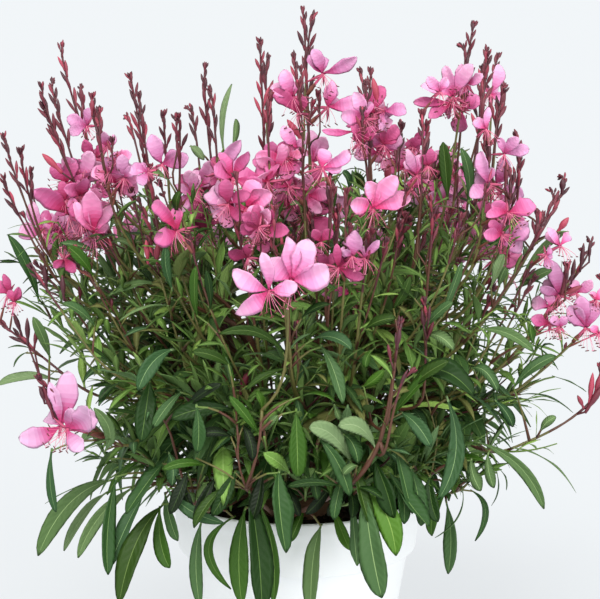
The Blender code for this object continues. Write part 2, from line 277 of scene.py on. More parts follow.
def blade(store, path, side, normal, half, cols, height, thick, top, under, cup=None):
    """A thin closed blade over a path: rows along it, columns across it, an upper and an under skin."""
    rows, across = len(path), len(cols)
    cols = np.asarray(cols)
    body = np.ones((rows, across))
    body[0], body[-1], body[:, 0], body[:, -1] = 0, 0, 0, 0
    flat = path[:, None] + side[:, None] * (half[:, None] * cols)[..., None]
    upper = flat + normal[:, None] * (height + body * thick / 2)[..., None]
    lower = flat + normal[:, None] * (height - body * thick / 2)[..., None]
    inner = body.astype(bool)
    top_id = np.arange(rows * across).reshape(rows, across)
    low_id = top_id.copy()
    low_id[inner] = rows * across + np.arange(int(inner.sum()))
    points = np.concatenate([upper.reshape(-1, 3), lower[inner]])
    along = np.linspace(0, 1, rows)
    uv = np.stack(np.broadcast_arrays(along[:, None], (cols * 0.5 + 0.5)[None]), -1)
    uv = np.concatenate([uv.reshape(-1, 2), uv[inner]])
    a, b, c, d = top_id[:-1, :-1], top_id[:-1, 1:], top_id[1:, 1:], top_id[1:, :-1]
    faces_top = np.stack([a, b, c, d], -1).reshape(-1, 4)
    a, b, c, d = low_id[:-1, :-1], low_id[:-1, 1:], low_id[1:, 1:], low_id[1:, :-1]
    faces_low = np.stack([a, d, c, b], -1).reshape(-1, 4)
    top = np.broadcast_to(top, (rows - 1, across - 1)).ravel()
    under = np.broadcast_to(under, (rows - 1, across - 1)).ravel()
    store.add(points, np.concatenate([faces_top, faces_low]), np.concatenate([top, under]), uv)


def tube(store, path, radius, sides, slots, ridges=None):
    """A closed round stem over a path, with a point at each end."""
    path = np.asarray(path, float)
    rows = len(path)
    radius = np.broadcast_to(radius, (rows,))
    run = np.gradient(path, axis=0)
    run /= np.maximum(np.linalg.norm(run, axis=1, keepdims=True), 1e-9)
    ref = unit(np.cross(run[0], [0.31, 0.9, 0.2]))
    ring = []
    for k in range(rows):
        ref = unit(ref - run[k] * (ref @ run[k]))
        other = np.cross(run[k], ref)
        turn = 2 * np.pi * np.arange(sides) / sides
        r = radius[k] * (np.ones(sides) if ridges is None else ridges[k])
        ring.append(path[k] + (np.cos(turn)[:, None] * ref + np.sin(turn)[:, None] * other) * r[:, None])
    points = np.concatenate([*ring, path[:1] - run[:1] * radius[0] * 0.3, path[-1:] + run[-1:] * radius[-1] * 0.3])
    ids = np.arange(rows * sides).reshape(rows, sides)
    nxt = np.roll(ids, -1, axis=1)
    quads = np.stack([ids[:-1], nxt[:-1], nxt[1:], ids[1:]], -1).reshape(-1, 4)
    slots = np.broadcast_to(slots, (rows - 1,))
    uv = np.concatenate([np.stack(np.broadcast_arrays(np.linspace(0, 1, rows)[:, None], (np.arange(sides) / sides)[None]), -1).reshape(-1, 2), [[0, 0], [1, 0]]])
    store.add(points, quads, np.repeat(slots, sides), uv)
    base = store.count - len(points)
    ends = np.concatenate([
        np.stack([np.full(sides, rows * sides), nxt[0], ids[0]], -1),
        np.stack([np.full(sides, rows * sides + 1), ids[-1], nxt[-1]], -1),
    ]) + base
    store.faces.append(ends)
    store.slots.append(np.repeat([slots[0], slots[-1]], sides))
    store.triangles += len(ends)


def bezier(points, n):
    t = np.linspace(0, 1, n)[:, None]
    p = [np.asarray(q, float) for q in points]
    if len(p) == 3:
        return (1 - t) ** 2 * p[0] + 2 * t * (1 - t) * p[1] + t**2 * p[2]
    return (1 - t) ** 3 * p[0] + 3 * t * (1 - t) ** 2 * p[1] + 3 * t**2 * (1 - t) * p[2] + t**3 * p[3]


def resample(path, step):
    gap = np.linalg.norm(np.diff(path, axis=0), axis=1)
    far = np.concatenate([[0], np.cumsum(gap)])
    n = max(2, int(round(far[-1] / step)) + 1)
    at = np.linspace(0, far[-1], n)
    return np.stack([np.interp(at, far, path[:, i]) for i in range(3)], -1)


def length_of(path):
    return float(np.linalg.norm(np.diff(path, axis=0), axis=1).sum())


# ------------------------------------------------------------------ leaves
BIG = (-1.0, -0.60, -0.036, 0.036, 0.60, 1.0)
SMALL = (-1.0, -0.05, 0.05, 1.0)


class Leaves:
    """Leaves dealt into pieces that each stay under the triangle limit."""

    LIMIT = 150000

    def __init__(self, name, mats):
        self.name, self.mats, self.stores = name, mats, []

    def store(self):
        if not self.stores or self.stores[-1].triangles > self.LIMIT:
            self.stores.append(Store(f"{self.name}_{len(self.stores) + 1}", self.mats))
        return self.stores[-1]

    def leaf(self, base, control, tip, half, tone, dice, roll=0.0, fold=0.28, broad=False, rows=None, petiole=0.10, blunt=None, face=None):
        base, control, tip = (np.asarray(p, float) for p in (base, control, tip))
        rows = rows or (12 if broad else 8)
        cols = BIG if broad else SMALL
        path = bezier((base, control, tip), rows)
        run = np.gradient(path, axis=0)
        run /= np.maximum(np.linalg.norm(run, axis=1, keepdims=True), 1e-9)
        chord = unit(tip - base)
        side0 = np.cross(chord, Z if face is None else face)
        if face is None and np.linalg.norm(side0) < 0.25:
            out = np.array([base[0], base[1], 0.0]) + np.array([1e-4, 0, 0])
            side0 = np.cross(chord * 0.5 + unit(out) * 0.8, Z)
        side0 = unit(side0)
        side, normal = [], []
        spin = dice.uniform(-0.35, 0.35) if face is None else dice.uniform(-0.20, 0.20)
        for k in range(rows):
            s = unit(side0 - run[k] * (side0 @ run[k]))
            n = np.cross(s, run[k])
            turn = roll + spin * (k / (rows - 1) - 0.3)
            side.append(s * math.cos(turn) + n * math.sin(turn))
            normal.append(n * math.cos(turn) - s * math.sin(turn))
        side, normal = np.array(side), np.array(normal)
        t = np.linspace(0, 1, rows)
        run_t = np.clip((t - petiole) / (1 - petiole), 0, 1)
        power = dice.uniform(0.98, 1.22) if face is None else dice.uniform(1.22, 1.50)
        wide = half * np.sin(np.pi * run_t**power) ** (blunt or dice.uniform(0.86, 1.10))
        teeth = 1.0 + (0.012 if broad else 0.0) * np.where(np.arange(rows) % 2, 1, -1) * (run_t > 0.2)
        wide = np.maximum(wide * teeth, 0.00035 + 0.00025 * (1 - t))
        phase, ripple = dice.uniform(0, 6.28), dice.uniform(0.04, 0.15)
        c = np.asarray(cols)
        height = np.abs(c)[None] * wide[:, None] * fold
        height = height + (c**2 * np.sign(c))[None] * (wide * ripple * np.sin(9 * t + phase))[:, None]
        height = height + (c**2)[None] * (wide * ripple * np.sin(13 * t + phase * 1.7))[:, None]
        thick = 0.00022 if broad else 0.00018
        i = TONE[tone] * 3
        top = np.full((rows - 1, len(cols) - 1), i)
        top[:, (len(cols) - 1) // 2] = i + 2
        under = np.full((rows - 1, len(cols) - 1), i + 1)
        under[:, (len(cols) - 1) // 2] = i + 2
        top[: max(1, int(petiole * rows))] = i + 2
        blade(self.store(), path, side, normal, wide, cols, height, thick, top, under)


# ------------------------------------------------------------------ flowers
def petal(store, centre, out, face, length, half, tone, dice, curl):
    """One clawed petal: out is the way it points, face the way the flower looks."""
    rows = 13
    t = np.linspace(0, 1, rows)
    bend = curl * t**2
    lift, dip = dice.uniform(0.10, 0.34), dice.uniform(0.05, 0.30)
    path = centre + out * (length * (t - 0.12 * np.abs(bend) * t))[:, None] + face * (length * (lift * t + bend * 0.35 - dip * t**3))[:, None]
    run = np.gradient(path, axis=0)
    run /= np.linalg.norm(run, axis=1, keepdims=True)
    side0 = unit(np.cross(out, face))
    path = path + side0 * (length * dice.gauss(0, 0.07) * np.sin(np.pi * t))[:, None]
    run = np.gradient(path, axis=0)
    run /= np.linalg.norm(run, axis=1, keepdims=True)
    roll, twist = dice.gauss(0, 0.20), dice.gauss(0, 0.22)
    side, normal = [], []
    for k in range(rows):
        s = unit(side0 - run[k] * (side0 @ run[k]))
        n = np.cross(s, run[k])
        if n @ face < 0:
            n = -n
        turn = roll + twist * t[k]
        side.append(s * math.cos(turn) + n * math.sin(turn))
        normal.append(n * math.cos(turn) - s * math.sin(turn))
    side, normal = np.array(side), np.array(normal)
    if np.cross(side[0], run[0]) @ normal[0] < 0:
        side = -side
    far = dice.uniform(0.52, 0.62)
    outline = np.interp(t, (0, 0.08, 0.22, 0.38, far, 0.76, 0.90, 0.965, 1.0), (0.11, 0.16, 0.44, 0.82, 1.0, 0.87, 0.56, 0.33, 0.05))
    wide = half * outline * (1 + 0.05 * np.sin(t * 17 + dice.uniform(0, 6)))
    cols = np.array((-1.0, -0.72, -0.36, 0.0, 0.36, 0.72, 1.0))
    phase, ruffle = dice.uniform(0, 6.28), dice.uniform(0.05, 0.22)
    height = (cols**2)[None] * (wide * dice.uniform(0.10, 0.50))[:, None]
    height = height + (np.abs(cols) ** 3 * np.sign(cols))[None] * (wide * ruffle * 1.3 * np.sin(6 * t + phase))[:, None]
    height = height + (cols**2)[None] * (wide * ruffle * 0.5 * np.sin(11 * t + phase))[:, None]
    height = height + (np.sin(cols * 5.2 + phase))[None] * (wide * 0.08 * t)[:, None] - (np.abs(cols) < 0.1)[None] * (wide * 0.07)[:, None]
    i = PETAL[tone] * (BANDS + 1)
    top = np.zeros((rows - 1, 6), int)
    shift = dice.uniform(-0.10, 0.10)
    for k in range(rows - 1):
        m = (t[k] + t[k + 1]) / 2
        for j in range(6):
            level = int(np.searchsorted((0.13, 0.22, 0.31, 0.41, 0.53, 0.66, 0.82), m + shift))
            top[k, j] = i + min(BANDS - 1, level)
    blade(store, path, side, normal, wide, cols, height, 0.00016, top, np.full_like(top, i + BANDS))


FLOWER_SLOTS = ("filament", "anther", "sepal", "tube", "style", "ovary")


def flower(petals, parts, foot, centre, face, up, size, tone, dice, known=None):
    """A flower at centre, looking along face, its four petals fanned about up, carried by a slim tube from foot."""
    face = unit(face)
    up = unit(up - face * (up @ face))
    right = np.cross(face, up)
    if known is None:
        known = []
        for angle in (-82, -30, 30, 82):
            a = math.radians(angle + dice.gauss(0, 9))
            out = unit(up * math.cos(a) + right * math.sin(a) + face * dice.gauss(0.05, 0.16))
            length = size * dice.uniform(0.90, 1.10)
            known.append((out * length, length * dice.uniform(0.26, 0.35)))
    else:
        for _ in range(min(2, 4 - len(known))):
            out = unit(up * dice.uniform(0.4, 0.9) - face * dice.uniform(0.5, 0.9) + right * dice.choice((-1, 1)) * dice.uniform(0.1, 0.6))
            known = [*known, (out * size * dice.uniform(0.75, 0.92), size * dice.uniform(0.24, 0.30))]
    for out, half in known:
        length = np.linalg.norm(out)
        out = out / length
        petal(petals, centre + out * length * 0.02, out, face, length, half, tone, dice, dice.gauss(0.15, 0.40))
    # hypanthium tube and ovary
    mid = (foot + centre) / 2 + up * 0.0006
    path = bezier((foot, mid, centre), 5)
    tube(parts, path, np.array((0.0009, 0.0011, 0.00065, 0.0006, 0.0008)) * (size / 0.015), 6, np.array((5, 5, 3, 3)))
    # reflexed sepals
    for i in range(4):
        a = math.radians(45 + 90 * i + dice.uniform(-14, 14))
        out = unit(up * math.cos(a) + right * math.sin(a) - face * 0.45)
        L = size * dice.uniform(0.55, 0.70)
        p = bezier((centre - face * 0.0003, centre + out * L * 0.5 - face * L * 0.10, centre + out * L * 0.85 - face * L * 0.45), 5)
        s = unit(np.cross(out, face))
        sides = np.repeat(s[None], 5, 0)
        normals = np.cross(sides, np.gradient(p, axis=0))
        normals /= np.linalg.norm(normals, axis=1, keepdims=True)
        blade(parts, p, sides, normals, np.array((0.4, 1.0, 0.85, 0.55, 0.15)) * 0.00085, (-1, 0, 1), np.zeros((5, 3)), 0.0002, 2, 2)
    # eight drooping stamens and a longer style
    for i in range(8):
        a = math.radians(-64 + 128 * i / 7 + dice.uniform(-7, 7))
        out = unit(-up * math.cos(a) * 0.9 + right * math.sin(a) * 0.85 + face * dice.uniform(0.45, 0.8))
        L = size * dice.uniform(0.55, 0.78)
        end = centre + out * L - up * L * 0.18
        p = bezier((centre, centre + (out + face * 0.35) * L * 0.5, end), 6)
        tube(parts, p, np.linspace(0.00015, 0.00010, 6), 3, 0)
        along = unit(np.cross(p[-1] - p[-2], up) + right * dice.uniform(-0.4, 0.4))
        half = size * 0.065
        q = np.array([end - along * half, end - along * half * 0.5, end + along * half * 0.5, end + along * half])
        tube(parts, q, np.array((0.00016, 0.00032, 0.00032, 0.00015)), 4, 1)
    L = size * 0.95
    end = centre - up * L * 0.75 + face * L * 0.5
    p = bezier((centre, centre + face * L * 0.5 - up * L * 0.2, end), 6)
    tube(parts, p, 0.00015, 4, 4)
    for i in range(4):
        a = math.radians(90 * i + 20)
        out = unit(right * math.cos(a) + face * math.sin(a) * 0.7 - up * 0.3)
        tube(parts, np.array([end, end + out * 0.0007]), np.array((0.00022, 0.00018)), 4, 4)


BUD_SLOTS = ("bud_dark", "bud_wine", "bud_red", "bud_coral", "bud_green", "bud_tip")


def bud(store, base, way, length, radius, slot, tail, dice, bow=0.0):
    """A slender spindle bud on its ovary, bowed a little towards the axis."""
    way = unit(way)
    bend = unit(np.cross(way, Z)) if abs(way[2]) < 0.98 else np.array([1.0, 0, 0])
    tilt = np.cross(bend, way)
    t = np.array((0.0, 0.12, 0.26, 0.42, 0.60, 0.80, 0.93, 1.0))
    path = base + way * (length * t)[:, None] + tilt * (bow * length * (t**2))[:, None]
    shape = np.array((0.42, 0.52, 0.50, 0.86, 1.0, 0.74, 0.40, 0.12)) * radius
    tube(store, path, shape, 6, np.array((tail, tail, slot, slot, slot, slot, 5 if slot < 3 else slot)))


# ------------------------------------------------------------------ the shoots
# Flower stalks that the front shows: tip, a point half way, and where the stalk
# goes into the leaves, as pixels, then its depth at the tip and at the foot in
# metres, and how far down from the tip its buds run in millimetres.
STALKS = (
    (4, 137, 12, 166, 34, 226, 0.000, -0.010, 34),
    (21, 151, 26, 184, 42, 240, -0.030, -0.025, 30),
    (4, 179, 14, 205, 44, 262, -0.045, -0.040, 26),
    (31, 171, 34, 200, 54, 262, 0.030, 0.020, 16),
    (62, 46, 68, 82, 96, 168, 0.010, 0.000, 48),
    (42, 87, 50, 120, 82, 200, -0.030, -0.030, 44),
    (53, 82, 58, 112, 90, 214, -0.005, -0.020, 40),
    (92, 97, 96, 126, 108, 190, -0.050, -0.050, 20),
    (99, 109, 100, 140, 114, 216, 0.040, 0.020, 26),
    (81, 88, 84, 120, 100, 205, 0.060, 0.040, 22),
    (130, 77, 138, 118, 150, 202, 0.000, -0.010, 46),
    (126, 117, 133, 134, 148, 198, 0.030, 0.010, 18),
    (139, 96, 143, 130, 156, 214, -0.030, -0.040, 30),
    (163, 115, 165, 140, 172, 230, -0.055, -0.055, 24),
    (178, 118, 180, 145, 178, 232, -0.070, -0.060, 30),
    (188, 108, 195, 130, 204, 214, 0.030, 0.010, 26),
    (205, 67, 206, 110, 216, 200, 0.010, 0.000, 48),
    (210, 90, 214, 118, 220, 210, -0.030, -0.040, 30),
    (260, 42, 262, 95, 266, 190, 0.000, -0.010, 62),
    (268, 57, 266, 92, 270, 200, 0.030, 0.010, 30),
    (271, 95, 268, 122, 272, 214, -0.050, -0.060, 24),
    (303, 11, 306, 62, 310, 170, 0.000, -0.010, 50),
    (314, 16, 307, 60, 303, 180, 0.015, 0.000, 34),
    (294, 57, 298, 100, 304, 196, -0.035, -0.050, 44),
    (301, 69, 306, 112, 316, 200, 0.050, 0.030, 30),
    (360, 71, 366, 112, 372, 205, 0.000, -0.020, 46),
    (371, 72, 369, 120, 370, 215, -0.035, -0.050, 40),
    (360, 110, 364, 142, 372, 228, -0.065, -0.070, 28),
    (401, 124, 398, 152, 388, 232, 0.030, 0.010, 26),
    (422, 113, 423, 150, 420, 235, -0.040, -0.050, 36),
    (427, 124, 424, 160, 416, 250, -0.060, -0.060, 24),
    (461, 46, 464, 76, 448, 190, -0.010, -0.020, 34),
    (474, 25, 467, 70, 454, 200, 0.010, 0.000, 48),
    (487, 51, 484, 92, 466, 215, -0.030, -0.040, 50),
    (482, 68, 480, 105, 474, 210, 0.020, 0.000, 34),
    (498, 57, 492, 100, 488, 200, 0.040, 0.020, 26),
    (504, 87, 497, 128, 490, 215, -0.015, -0.030, 30),
    (486, 130, 488, 160, 480, 240, -0.060, -0.070, 26),
    (516, 135, 518, 175, 500, 250, 0.000, -0.020, 34),
    (508, 170, 510, 200, 490, 270, -0.050, -0.060, 22),
    (561, 177, 556, 205, 500, 300, 0.000, -0.030, 36),
    (551, 191, 545, 220, 492, 310, -0.030, -0.050, 26),
    (538, 213, 534, 240, 490, 312, -0.060, -0.070, 20),
    (589, 241, 580, 268, 520, 352, 0.000, -0.020, 12),
    (582, 250, 573, 276, 512, 356, 0.030, 0.000, 8),
    (566, 266, 558, 300, 506, 362, -0.040, -0.050, 10),
    (600, 278, 592, 320, 520, 388, -0.020, -0.030, 26),
    (600, 368, 582, 410, 508, 450, -0.050, -0.060, 18),
    (0, 322, 28, 345, 76, 384, -0.020, -0.040, 34),
    (40, 378, 56, 396, 110, 440, -0.085, -0.080, 16),
    (262, 232, 278, 262, 288, 350, -0.118, -0.108, 18),
    (290, 238, 288, 268, 290, 352, -0.124, -0.112, 16),
    (350, 228, 346, 262, 340, 345, -0.110, -0.098, 20),
    (372, 232, 366, 262, 356, 350, -0.100, -0.094, 20),
    (232, 202, 238, 232, 252, 310, -0.090, -0.088, 26),
    (412, 372, 400, 388, 388, 440, -0.128, -0.130, 10),
    (150, 168, 152, 196, 166, 270, -0.075, -0.070, 20),
    (430, 200, 432, 226, 426, 300, -0.085, -0.085, 26),
    (330, 170, 330, 200, 326, 290, -0.080, -0.085, 24),
    (400, 322, 396, 356, 390, 410, -0.116, -0.128, 16),
    (424, 302, 426, 338, 424, 392, -0.094, -0.092, 22),
)

# Open flowers that the front shows: centre as a pixel, how far the flower is turned
# to the right in degrees, tone, then the tip of each petal and its width in pixels.
BLOOMS = (
    (291, 280, 6, "pale", ((288, 237, 21), (309, 240, 25), (329, 268, 30), (266, 261, 26))),
    (269, 291, -6, "pale", ((233, 270, 19), (236, 311, 22), (299, 284, 18), (262, 250, 15))),
    (338, 268, 10, "warm", ((364, 264, 16), (363, 279, 15), (336, 243, 10))),
    (352, 256, 0, "lilac", ((355, 230, 21), (343, 248, 9))),
    (364, 258, 20, "lilac", ((376, 240, 11),)),
    (328, 268, -10, "deep", ((319, 252, 12),)),
    (354, 293, -40, "rose", ((322, 293, 17),)),
    (370, 291, 20, "warm", ((384, 270, 18),)),
    (321, 242, 0, "warm", ((312, 229, 11), (333, 231, 12))),
    (373, 209, 5, "bright", ((366, 183, 17), (349, 205, 19), (398, 176, 21), (411, 198, 21))),
    (323, 74, 20, "lilac", ((312, 48, 14), (352, 57, 15))),
    (293, 97, -15, "pale", ((284, 69, 16), (270, 87, 16))),
    (298, 113, -15, "warm", ((272, 91, 17), (303, 96, 8))),
    (328, 107, 15, "pale", ((333, 80, 11), (363, 101, 18))),
    (365, 119, 0, "pale", ((341, 117, 17), (354, 92, 15))),
    (374, 114, 15, "warm", ((386, 87, 16), (368, 92, 12))),
    (384, 111, 25, "lilac", ((404, 111, 16), (376, 132, 13))),
    (356, 131, -30, "rose", ((330, 131, 8),)),
    (360, 143, 10, "warm", ((372, 127, 13), (350, 125, 13))),
    (384, 145, 20, "warm", ((399, 127, 16), (397, 139, 11))),
    (412, 151, 10, "deep", ((420, 136, 10),)),
    (298, 149, -5, "pale", ((284, 126, 14), (304, 146, 9))),
    (313, 162, 5, "pale", ((309, 130, 15), (327, 135, 17))),
    (286, 158, -20, "bright", ((256, 159, 14), (305, 149, 13))),
    (291, 160, 0, "rose", ((286, 180, 17), (300, 173, 10))),
    (322, 168, 20, "pale", ((351, 152, 14),)),
    (289, 187, -30, "rose", ((260, 174, 13),)),
    (313, 194, 10, "warm", ((319, 166, 10),)),
    (222, 171, 20, "lilac", ((239, 140, 15),)),
    (228, 204, 0, "warm", ((226, 177, 17), (251, 193, 14), (244, 219, 13))),
    (268, 182, -30, "rose", ((234, 171, 17),)),
    (263, 202, 0, "deep", ((251, 188, 12), (271, 187, 10))),
    (292, 205, -10, "bright", ((272, 193, 17), (292, 221, 15))),
    (315, 214, 5, "bright", ((320, 192, 10),)),
    (259, 227, -20, "deep", ((238, 232, 14),)),
    (248, 258, -10, "deep", ((231, 249, 14),)),
    (198, 188, -5, "pale", ((189, 169, 15), (214, 159, 18))),
    (203, 204, -10, "warm", ((182, 200, 13), (215, 196, 13))),
    (204, 232, -5, "deep", ((187, 207, 18), (203, 203, 18), (220, 213, 15))),
    (177, 231, -25, "rose", ((149, 204, 17), (155, 233, 24))),
    (162, 164, 10, "lilac", ((151, 134, 17), (187, 154, 16))),
    (148, 172, -15, "lilac", ((129, 172, 16), (141, 186, 13))),
    (70, 215, -20, "rose", ((41, 187, 23),)),
    (82, 222, 0, "rose", ((71, 198, 15),)),
    (44, 230, -30, "pale", ((29, 202, 15), (18, 228, 19), (56, 255, 13))),
    (64, 259, 0, "warm", ((74, 273, 12), (55, 269, 10))),
    (8, 294, -10, "warm", ((3, 274, 11), (-5, 283, 13))),
    (14, 302, 10, "warm", ((21, 289, 9),)),
    (79, 179, -5, "pale", ((63, 152, 15), (94, 149, 17), (108, 168, 13))),
    (109, 172, 15, "lilac", ((122, 154, 17), (129, 165, 13))),
    (87, 126, -10, "lilac", ((66, 117, 14), (92, 106, 11), (71, 135, 13))),
    (107, 146, 10, "pale", ((104, 129, 11),)),
    (453, 97, -10, "pale", ((446, 66, 15), (421, 87, 15), (475, 64, 17))),
    (452, 103, -30, "rose", ((414, 104, 11), (432, 119, 17))),
    (461, 109, 5, "rose", ((457, 133, 17), (480, 97, 15))),
    (490, 94, 15, "pale", ((498, 65, 14), (502, 101, 10))),
    (486, 129, 10, "pale", ((489, 107, 9),)),
    (504, 154, 20, "lilac", ((516, 135, 13), (529, 149, 14), (500, 138, 9))),
    (413, 146, 0, "deep", ((425, 132, 9),)),
    (417, 175, -10, "pale", ((408, 149, 12),)),
    (428, 166, 0, "warm", ((430, 148, 10),)),
    (411, 188, 10, "warm", ((423, 178, 10),)),
    (488, 184, -10, "lilac", ((480, 151, 16), (469, 196, 17))),
    (495, 185, 15, "lilac", ((503, 156, 15),)),
    (500, 193, 10, "pale", ((511, 183, 11), (504, 205, 9))),
    (508, 213, 10, "rose", ((533, 203, 20), (488, 203, 14), (484, 216, 11))),
    (502, 235, -10, "rose", ((483, 232, 15), (489, 221, 11))),
    (500, 243, 25, "lilac", ((534, 228, 20), (527, 250, 18))),
    (560, 246, 30, "pale", ((577, 236, 11), (548, 227, 10))),
    (546, 255, 10, "lilac", ((552, 269, 11),)),
    (559, 295, 0, "lilac", ((553, 262, 16), (540, 287, 13))),
    (549, 307, -10, "pale", ((531, 303, 15),)),
    (550, 324, -10, "rose", ((532, 317, 14),)),
    (586, 328, 5, "lilac", ((567, 305, 19), (580, 296, 18), (595, 301, 16))),
    (577, 293, 10, "pale", ((588, 281, 12),)),
    (560, 327, 0, "lilac", ((552, 316, 10), (568, 317, 10))),
    (596, 300, 25, "bright", ((606, 290, 13),)),
    (598, 334, 25, "bright", ((607, 326, 13),)),
    (94, 234, 5, "bright", ((88, 188, 22), (74, 200, 14), (113, 208, 14))),
    (96, 196, 5, "rose", ((104, 178, 13), (113, 192, 11))),
    (80, 196, 0, "rose", ((65, 186, 16), (88, 174, 15))),
    (60, 234, -10, "pale", ((46, 214, 15), (66, 212, 15))),
    (124, 178, 0, "lilac", ((122, 152, 14), (136, 166, 12))),
    (96, 158, 10, "warm", ((84, 140, 12), (104, 142, 12))),
    (61, 426, -12, "blush", ((65, 374, 25), (50, 384, 13), (18, 438, 22))),
    (67, 429, 10, "blush", ((90, 396, 27), (98, 420, 22), (84, 449, 18))),
    # smaller ones that thicken the clusters
    (440, 92, 20, "pale", ((428, 76, 12), (448, 78, 12))),
    (466, 84, -15, "pale", ((462, 64, 13), (484, 74, 12))),
    (494, 214, -20, "warm", ((480, 202, 13), (488, 232, 12))),
    (86, 168, -20, "pale", ((72, 160, 13), (92, 150, 13))),
    (66, 200, -10, "warm", ((50, 196, 14), (60, 182, 12))),
    (54, 220, -25, "rose", ((40, 214, 14), (44, 232, 13))),
    (118, 160, 20, "bright", ((130, 154, 12), (124, 174, 12))),
    (314, 256, 10, "rose", ((306, 248, 10), (324, 252, 10))),
)

# Depths of the pair of flowers that stands in front of everything else.
FRONT_PAIR = {(291, 280): -0.139, (269, 291): -0.144}

# Stalks that pass in front of the flowers: pixels from foot to tip, how far down
# from the tip the buds run in millimetres, radius in millimetres.
OVER = (
    (((372, 188), (370, 150), (366, 112), (366, 84)), 40, 0.8), (((303, 150), (302, 120), (299, 84)), 18, 0.7),
    (((306, 150), (309, 126), (313, 104)), 14, 0.6), (((266, 172), (269, 124), (270, 98)), 22, 0.7, 1),
    (((398, 180), (400, 150), (401, 126)), 14, 0.7), (((345, 236), (346, 214), (347, 192)), 15, 0.6),
    (((273, 250), (275, 230), (276, 210)), 14, 0.6), (((417, 250), (421, 200), (423, 150), (422, 114)), 20, 0.6),
    (((104, 164), (100, 140), (99, 112)), 22, 0.7),
    (((63, 158), (54, 132), (43, 106)), 24, 0.6), (((113, 164), (112, 152), (112, 142)), 6, 0.5),
    (((172, 176), (178, 150), (176, 118)), 16, 0.7), (((171, 216), (165, 198), (160, 184)), 9, 0.6),
    (((196, 238), (191, 212), (188, 196)), 9, 0.7), (((46, 256), (34, 236), (24, 216)), 3, 0.6),
    (((98, 262), (92, 244), (86, 228)), 3, 0.6), (((470, 164), (480, 130), (484, 92), (487, 56)), 42, 0.8),
    (((491, 180), (496, 126), (503, 92)), 20, 0.7), (((491, 178), (487, 150), (485, 130)), 18, 0.7),
    (((458, 212), (457, 188), (455, 166)), 13, 0.6), (((510, 226), (508, 196), (507, 172)), 13, 0.7),
    (((517, 206), (519, 180), (520, 160)), 15, 0.7), (((478, 220), (483, 202), (486, 188)), 8, 0.7),
    (((498, 248), (505, 232), (509, 218)), 6, 0.6), (((424, 196), (430, 178), (435, 160)), 11, 0.6),
    (((320, 134), (320, 112), (318, 94)), 12, 0.6), (((131, 264), (120, 220), (110, 180)), 3, 0.5),
    (((140, 264), (128, 226), (118, 188)), 8, 0.5), (((148, 264), (140, 226), (132, 192)), 8, 0.5),
    (((306, 244), (304, 200), (302, 152)), 3, 0.7), (((363, 148), (362, 130), (362, 112)), 14, 0.6),
    (((565, 300), (566, 282), (567, 266)), 12, 0.6), (((534, 246), (536, 230), (537, 214)), 14, 0.5),
    (((148, 204), (147, 180), (145, 158)), 12, 0.5), (((240, 214), (238, 192), (236, 176)), 8, 0.5),
    (((203, 345), (203, 320), (198, 292)), 3, 0.6), (((252, 352), (249, 330), (246, 312)), 3, 0.5),
    (((298, 372), (297, 350), (296, 326)), 4, 0.6), (((352, 354), (356, 332), (360, 308)), 4, 0.6),
    (((375, 350), (381, 325), (387, 300)), 4, 0.6), (((410, 350), (418, 322), (426, 294)), 10, 0.6),
    (((350, 418), (352, 392), (353, 362)), 3, 0.6), (((278, 418), (281, 392), (283, 364)), 3, 0.8),
    (((284, 416), (288, 390), (290, 366)), 3, 0.6), (((160, 300), (156, 270), (150, 246)), 8, 0.5),
    (((196, 336), (193, 312), (188, 290)), 3, 0.5), (((446, 320), (452, 290), (458, 262)), 8, 0.5),
    (((426, 262), (432, 236), (436, 214)), 10, 0.6), (((392, 262), (396, 236), (400, 210)), 12, 0.6),
    (((330, 232), (332, 210), (333, 190)), 8, 0.5),
)

# Large single buds: foot and tip as pixels, width in pixels, slot.
SHOWN_BUDS = (
    (62, 173, 43, 153, 8, 3), (302, 141, 288, 119, 8, 3), (386, 183, 389, 164, 8, 3), (378, 106, 373, 78, 8, 3),
    (557, 233, 568, 217, 7, 3), (92, 116, 92, 98, 5, 2), (148, 264, 146, 240, 6, 3), (157, 264, 158, 240, 6, 2),
    (84, 109, 80, 86, 6, 1), (64, 301, 62, 275, 6, 0), (80, 301, 80, 283, 5, 1), (47, 292, 44, 264, 6, 0),
    (561, 297, 568, 264, 7, 1), (571, 284, 575, 259, 5, 0), (580, 272, 584, 243, 5, 0), (589, 263, 590, 241, 4, 0),
    (562, 296, 582, 285, 6, 2), (537, 244, 538, 213, 5, 0), (500, 117, 505, 87, 6, 1), (494, 119, 490, 102, 6, 2),
    (484, 146, 486, 129, 5, 1), (505, 188, 507, 164, 5, 1), (517, 197, 519, 174, 5, 0), (562, 194, 563, 178, 7, 0),
    (229, 392, 220, 369, 8, 2), (240, 395, 247, 372, 8, 2), (397, 350, 400, 328, 5, 0), (391, 362, 388, 344, 4, 1),
    (272, 248, 266, 222, 5, 2), (282, 244, 279, 218, 6, 3), (268, 240, 262, 214, 5, 1), (22, 336, 14, 312, 6, 0),
    (28, 346, 27, 318, 6, 0), (54, 419, 44, 384, 6, 1), (56, 420, 51, 386, 6, 0), (45, 404, 40, 386, 5, 0),
    (589, 406, 593, 373, 6, 3), (585, 413, 602, 385, 7, 1), (584, 409, 578, 395, 5, 2), (594, 397, 601, 372, 6, 2), (34, 350, 37, 327, 5, 1), (424, 330, 422, 310, 4, 0), (428, 324, 430, 306, 4, 0),
)

